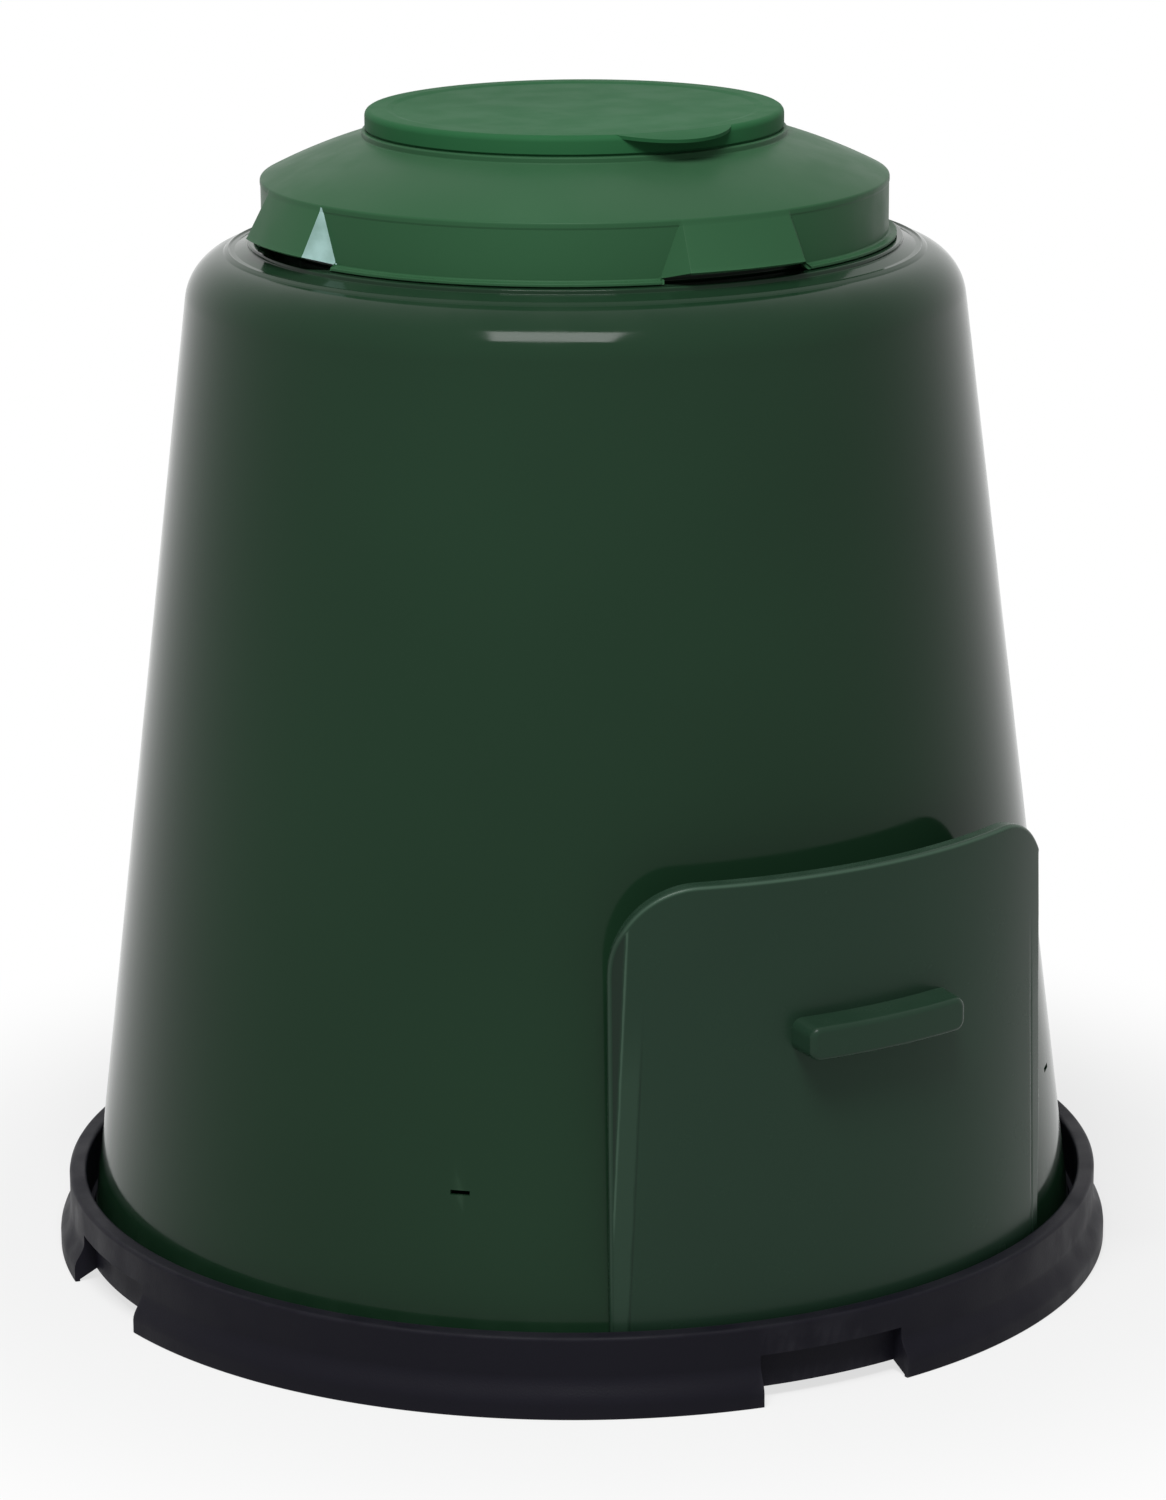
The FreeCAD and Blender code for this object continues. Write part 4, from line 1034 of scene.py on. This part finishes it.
def handle_lump():
    """Moulded handle: a bar with drafted ends and soft edges, bent to the hatch's face."""
    lump = bmesh.new()
    root = -HATCH_SKIN / 2
    corners = []
    ends = ((root, HANDLE_HALF, HANDLE_DROOP), (HANDLE_REACH, HANDLE_HALF - HANDLE_DRAFT, 0.0))
    for depth, half, drop in ends:
        low, high = HANDLE_BOTTOM + drop, HANDLE_TOP + drop
        corners.append([lump.verts.new((along, depth, height)) for along, height in (
            (-half, low), (half, low), (half, high), (-half, high))])
    back, front = corners
    lump.faces.new(back)
    lump.faces.new(front[::-1])
    for index in range(4):
        after = (index + 1) % 4
        lump.faces.new((back[index], front[index], front[after], back[after]))
    bmesh.ops.recalc_face_normals(lump, faces=lump.faces)
    sides = [edge for edge in lump.edges if abs(edge.verts[0].co.y - edge.verts[1].co.y) > 1.0]
    bmesh.ops.bevel(lump, geom=sides, offset=HANDLE_CORNER, segments=6, profile=0.5, affect="EDGES")
    rim = [edge for edge in lump.edges if all(vertex.co.y > HANDLE_REACH - 0.01 for vertex in edge.verts)]
    bmesh.ops.bevel(lump, geom=rim, offset=HANDLE_EDGE, segments=5, profile=0.5, affect="EDGES")
    spans = int(HANDLE_HALF / HANDLE_SPAN)
    for step in range(-spans, spans + 1):
        everything = lump.verts[:] + lump.edges[:] + lump.faces[:]
        cut = (HANDLE_SPAN * step, 0.0, 0.0)
        bmesh.ops.bisect_plane(lump, geom=everything, plane_co=cut, plane_no=(1.0, 0.0, 0.0))
    for vertex in lump.verts:
        along, depth, height = vertex.co
        vertex.co = place(HATCH_RADIUS + depth, arc_angle(along, HATCH_RADIUS + HANDLE_REACH / 2), height)
    bmesh.ops.recalc_face_normals(lump, faces=lump.faces)
    return lump


def lid_sections():
    """The lid's outer section at the skirt, at a vent's foot and at a vent's flare, row by row, and the dome."""
    skirt = rounded([
        (LIP_RADIUS, LID_BOTTOM),
        (LIP_RADIUS, LID_BOTTOM + 2.0, 0.8),
        (SKIRT_RADIUS, LID_BOTTOM + 2.2, 1.5),
        (SKIRT_RADIUS, LEDGE_LEVEL - 5.0, 0.8),
        (LEDGE_RADIUS, LEDGE_LEVEL - 3.6, 0.4),
        (LEDGE_RADIUS, LEDGE_LEVEL - 2.4),
    ])[:-1]
    tall = LEDGE_LEVEL - LID_BOTTOM
    foot = []
    flare = []
    for radius, height in skirt:
        share = (height - LID_BOTTOM) / tall
        foot_height = VENT_FOOT_TOP + (LEDGE_LEVEL - VENT_FOOT_TOP) * share
        foot.append(Vector((max(SKIRT_RADIUS, radius) if share > 0.5 else SKIRT_RADIUS, foot_height)))
        flare_height = VENT_BOTTOM + (LEDGE_LEVEL - VENT_BOTTOM) * share
        flare_radius = LEDGE_RADIUS + (VENT_REACH - LEDGE_RADIUS) * (1.0 - share) ** VENT_BOW
        flare.append(Vector((flare_radius, flare_height)))
    arc = bow((LEDGE_RADIUS, LEDGE_LEVEL), (DOME_RADIUS, DOME_TOP), DOME_BOW, DOME_STEPS)
    rest = [
        *[tuple(point) for point in arc],
        (DOME_RADIUS, DOME_TOP, 1.2),
        (DOME_RADIUS, LID_TOP, 1.2),
        (MOUTH_RADIUS, LID_TOP, 1.2),
        (MOUTH_RADIUS, LID_TOP - MOUTH_DEPTH),
    ]
    edges = {}
    for label, below in (("skirt", skirt[-1]), ("foot", foot[-1]), ("flare", flare[-1])):
        edges[label] = rounded([tuple(below), (LEDGE_RADIUS, LEDGE_LEVEL, 2.2), rest[0]])[1:-1]
    dome = rounded([(LEDGE_RADIUS, LEDGE_LEVEL), *rest])[1:]
    return {
        "skirt": [*skirt, *edges["skirt"], *dome],
        "foot": [*foot, *edges["foot"], *dome],
        "flare": [*flare, *edges["flare"], *dome],
        "dome": [*edges["skirt"], *dome],
    }


def make_outer_lid():
    """Domed lid on a skirt with four flared vents, a mouth for the cap and eight ribs that sit on the neck."""
    sections = lid_sections()

    def foot_angle(height):
        share = max(0.0, (LEDGE_LEVEL - height) / (LEDGE_LEVEL - VENT_BOTTOM))
        return VENT_HALF + VENT_SPREAD + (VENT_FOOT - VENT_HALF - VENT_SPREAD) * share

    def skirt_column(share, side):
        return [place(radius, side * (foot_angle(height) + (45.0 - foot_angle(height)) * share), height)
                for radius, height in sections["skirt"]]

    def foot_column(side):
        return [place(radius, side * foot_angle(height), height) for radius, height in sections["foot"]]

    def flare_column(angle):
        return [place(radius, angle, height) for radius, height in sections["flare"]]

    def crease_columns(side):
        """The rounded crease between a flare's face and its side."""
        corner = flare_column(side * VENT_HALF)
        face = flare_column(side * (VENT_HALF - 1.5))
        foot = foot_column(side)
        rows = []
        for here, inner, outer in zip(corner, face, foot):
            to_face, to_side = inner - here, outer - here
            reach = min(CREASE_ROUNDING, 0.4 * to_side.length)
            first = here + to_face.normalized() * min(CREASE_ROUNDING, reach + 0.3)
            last = here + to_side.normalized() * reach
            rows.append((first, (first + last) / 4 + here / 2, last))
        return [list(column) for column in zip(*rows)]

    shares = [step / SKIRT_STEPS for step in range(SKIRT_STEPS + 1)]
    face_half = VENT_HALF - 1.0
    quarter = [(skirt_column(share, -1.0), 1.0 - share) for share in reversed(shares)]
    quarter += [(column, 1.0) for column in (foot_column(-1.0), *reversed(crease_columns(-1.0)))]
    quarter += [
        (flare_column(face_half * (2.0 * step / VENT_STEPS - 1.0)), 1.0) for step in range(VENT_STEPS + 1)
    ]
    quarter += [(column, 1.0) for column in crease_columns(1.0)]
    # The vent facet that gets the painted reflection.
    facet = 3 * (len(quarter) + SKIRT_STEPS + 1) + len(quarter) - 1
    quarter.append((foot_column(1.0), 1.0))
    quarter += [(skirt_column(share, 1.0), 1.0 - share) for share in shares[:-1]]

    sheet = bmesh.new()
    # Mark for the painted reflection on that vent facet.
    painted_facet_reflection = sheet.faces.layers.float.new("painted_facet_reflection")
    columns = []
    for number in range(4):
        extra = LEFT_VENT_TURN if number == 3 else 0.0
        for column, held in quarter:
            turn = Matrix.Rotation(math.radians(90.0 * number + extra * held), 4, "Z")
            columns.append([sheet.verts.new(turn @ point) for point in column])
    below_edge = len(sections["skirt"]) - len(sections["dome"])
    for index, column in enumerate(columns):
        following = columns[(index + 1) % len(columns)]
        for row in range(len(column) - 1):
            face = sheet.faces.new((column[row], following[row], following[row + 1], column[row + 1]))
            face[painted_facet_reflection] = float(index == facet and row < below_edge)
    bmesh.ops.remove_doubles(sheet, verts=sheet.verts, dist=MERGE_COARSE)
    bmesh.ops.dissolve_degenerate(sheet, dist=MERGE_FINE, edges=sheet.edges)
    bmesh.ops.recalc_face_normals(sheet, faces=sheet.faces)
    face_up(sheet)
    lid = thickened(as_object("lid_moulding", [sheet]), LID_WALL)

    fall = (DOME_TOP - LEDGE_LEVEL) / (LEDGE_RADIUS - DOME_RADIUS)
    outer = SKIRT_RADIUS - LID_WALL / 2
    rib = [
        (SEAT_RIB_INNER, NECK_TOP + SEAT_GAP),
        (NECK_RADIUS + NECK_GAP, NECK_TOP + SEAT_GAP),
        (NECK_RADIUS + NECK_GAP, NECK_TOP - SEAT_RIB_LAP),
        (outer, NECK_TOP - SEAT_RIB_LAP),
        (outer, LEDGE_LEVEL - LID_WALL / 2),
        (SEAT_RIB_INNER, LEDGE_LEVEL - LID_WALL / 2 + (LEDGE_RADIUS - SEAT_RIB_INNER) * fall - 1.0),
    ]
    sweep = arc_angle(SEAT_RIB_WIDTH, NECK_RADIUS)
    turns = [90.0 * number + side * SEAT_RIB_TURN for number in range(4) for side in (-1.0, 1.0)]
    ribs = as_object("seat_ribs", [copies(turned(rib, -sweep / 2, sweep), turns)])
    return with_extra(lid, ribs)


def make_inner_cap():
    """Disc with a soft edge and a shallow dish, a plug ring under it and a thumb tab that droops from its edge."""
    underside = CAP_TOP - CAP_WALL
    corners = [
        (0.0, CAP_TOP - DISH_DEPTH),
        (DISH_RADIUS, CAP_TOP - DISH_DEPTH, 4.0),
        (DISH_RADIUS + 5.0, CAP_TOP, 4.0),
        (CAP_RADIUS, CAP_TOP, CAP_ROUNDING),
        (CAP_RADIUS, LID_TOP + 1.6, 0.6),
        (CAP_RADIUS - 1.4, LID_TOP + 1.4),
        (CAP_RADIUS - 1.4, LID_TOP),
        (CAP_RADIUS - CAP_WALL, LID_TOP),
        (CAP_RADIUS - CAP_WALL, underside - CAP_WALL / 2),
        (CAP_RADIUS - CAP_ROUNDING, underside),
        (PLUG_RADIUS, underside),
        (PLUG_RADIUS, PLUG_BOTTOM, 1.0),
        (PLUG_RADIUS - PLUG_WALL, PLUG_BOTTOM, 1.0),
        (PLUG_RADIUS - PLUG_WALL, underside - DISH_DEPTH),
        (0.0, underside - DISH_DEPTH),
    ]
    section = divided(rounded(corners), CAP_SPAN)
    tab = bmesh.new()
    half = math.sqrt(TAB_RADIUS ** 2 - (TAB_ROOT - TAB_LAP - TAB_CENTRE) ** 2)
    grid = []
    for column in range(TAB_COLUMNS + 1):
        side = -half * math.cos(math.pi * column / TAB_COLUMNS)
        tip = TAB_CENTRE + math.sqrt(max(0.0, TAB_RADIUS ** 2 - side ** 2))
        start = min(TAB_ROOT - TAB_LAP, tip)
        line = []
        for row in range(TAB_ROWS + 1):
            reach = start + (tip - start) * row / TAB_ROWS
            over = max(0.0, math.hypot(reach, side) - TAB_ROOT) / (TAB_CENTRE + TAB_RADIUS - TAB_ROOT)
            line.append(tab.verts.new((reach, side, CAP_TOP - 0.03 - TAB_DROP * over ** 1.5)))
        grid.append(line)
    for left, right in zip(grid, grid[1:]):
        for row in range(TAB_ROWS):
            tab.faces.new((left[row], left[row + 1], right[row + 1], right[row]))
    bmesh.ops.remove_doubles(tab, verts=tab.verts, dist=MERGE_COARSE)
    bmesh.ops.dissolve_degenerate(tab, dist=MERGE_FINE, edges=tab.edges)
    bmesh.ops.recalc_face_normals(tab, faces=tab.faces)
    face_up(tab)
    tongue = thickened(as_object("thumb_tab", [tab]), TAB_THICKNESS)
    soft = tongue.modifiers.new("soft_edge", "BEVEL")
    soft.width = TAB_EDGE
    soft.segments = 3
    soft.limit_method = "ANGLE"
    soft.angle_limit = math.radians(60.0)
    settled(tongue)
    cap = as_object("cap_moulding", [turned(section)])
    return with_extra(cap, tongue)


bpy.context.scene.view_settings.view_transform = "Standard"
make_camera()
make_floor()
make_world()
make_softbox("front_high", azimuth=-8.0, elevation=53.0, distance=3.2, width=1.65, tall=1.05, radiance=17.0)

body_green = plastic(
    "body_green", BODY_GREEN, rough=0.11, rough_spread=0.03, bump=0.12, level=0.11,
    grain=(1200.0, 0.04), dust_top_light=0.03)
hatch_green = plastic(
    "hatch_green", HATCH_GREEN, rough=0.24, rough_spread=0.04, bump=0.12, level=0.12,
    grain=(900.0, 0.4), dust_top_light=0.02, edge_pale=0.3, painted_lines=True)
lid_green = plastic(
    "lid_green", LID_GREEN, rough=0.40, rough_spread=0.04, bump=0.12, level=0.06, grain=(900.0, 0.4), dust_top_light=0.03,
    edge_pale=0.10, painted_facet_reflection=True)
cap_green = plastic(
    "cap_green", CAP_GREEN, rough=0.50, rough_spread=0.04, bump=0.12, level=0.02, grain=(900.0, 0.4), dust_top_light=0.02,
    edge_pale=0.10)
base_black = plastic(
    "base_black", BASE_BLACK, rough=0.48, rough_spread=0.08, bump=0.25, level=0.07, grain=(700.0, 0.6), dust_top_light=0.02)

finish_piece(make_base_tray(), "base_tray", "bin", base_black)
finish_piece(make_body_shell(), "body_shell", "bin", body_green)
finish_piece(make_hatch(), "hatch_door", "hatch", hatch_green)
finish_piece(make_outer_lid(), "outer_lid", "lid", lid_green, LID_TURN)
finish_piece(make_inner_cap(), "inner_cap", "cap", cap_green, CAP_TURN)
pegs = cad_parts["locking_pegs"]
pegs.data.materials.clear()
pegs.data.materials.append(base_black)
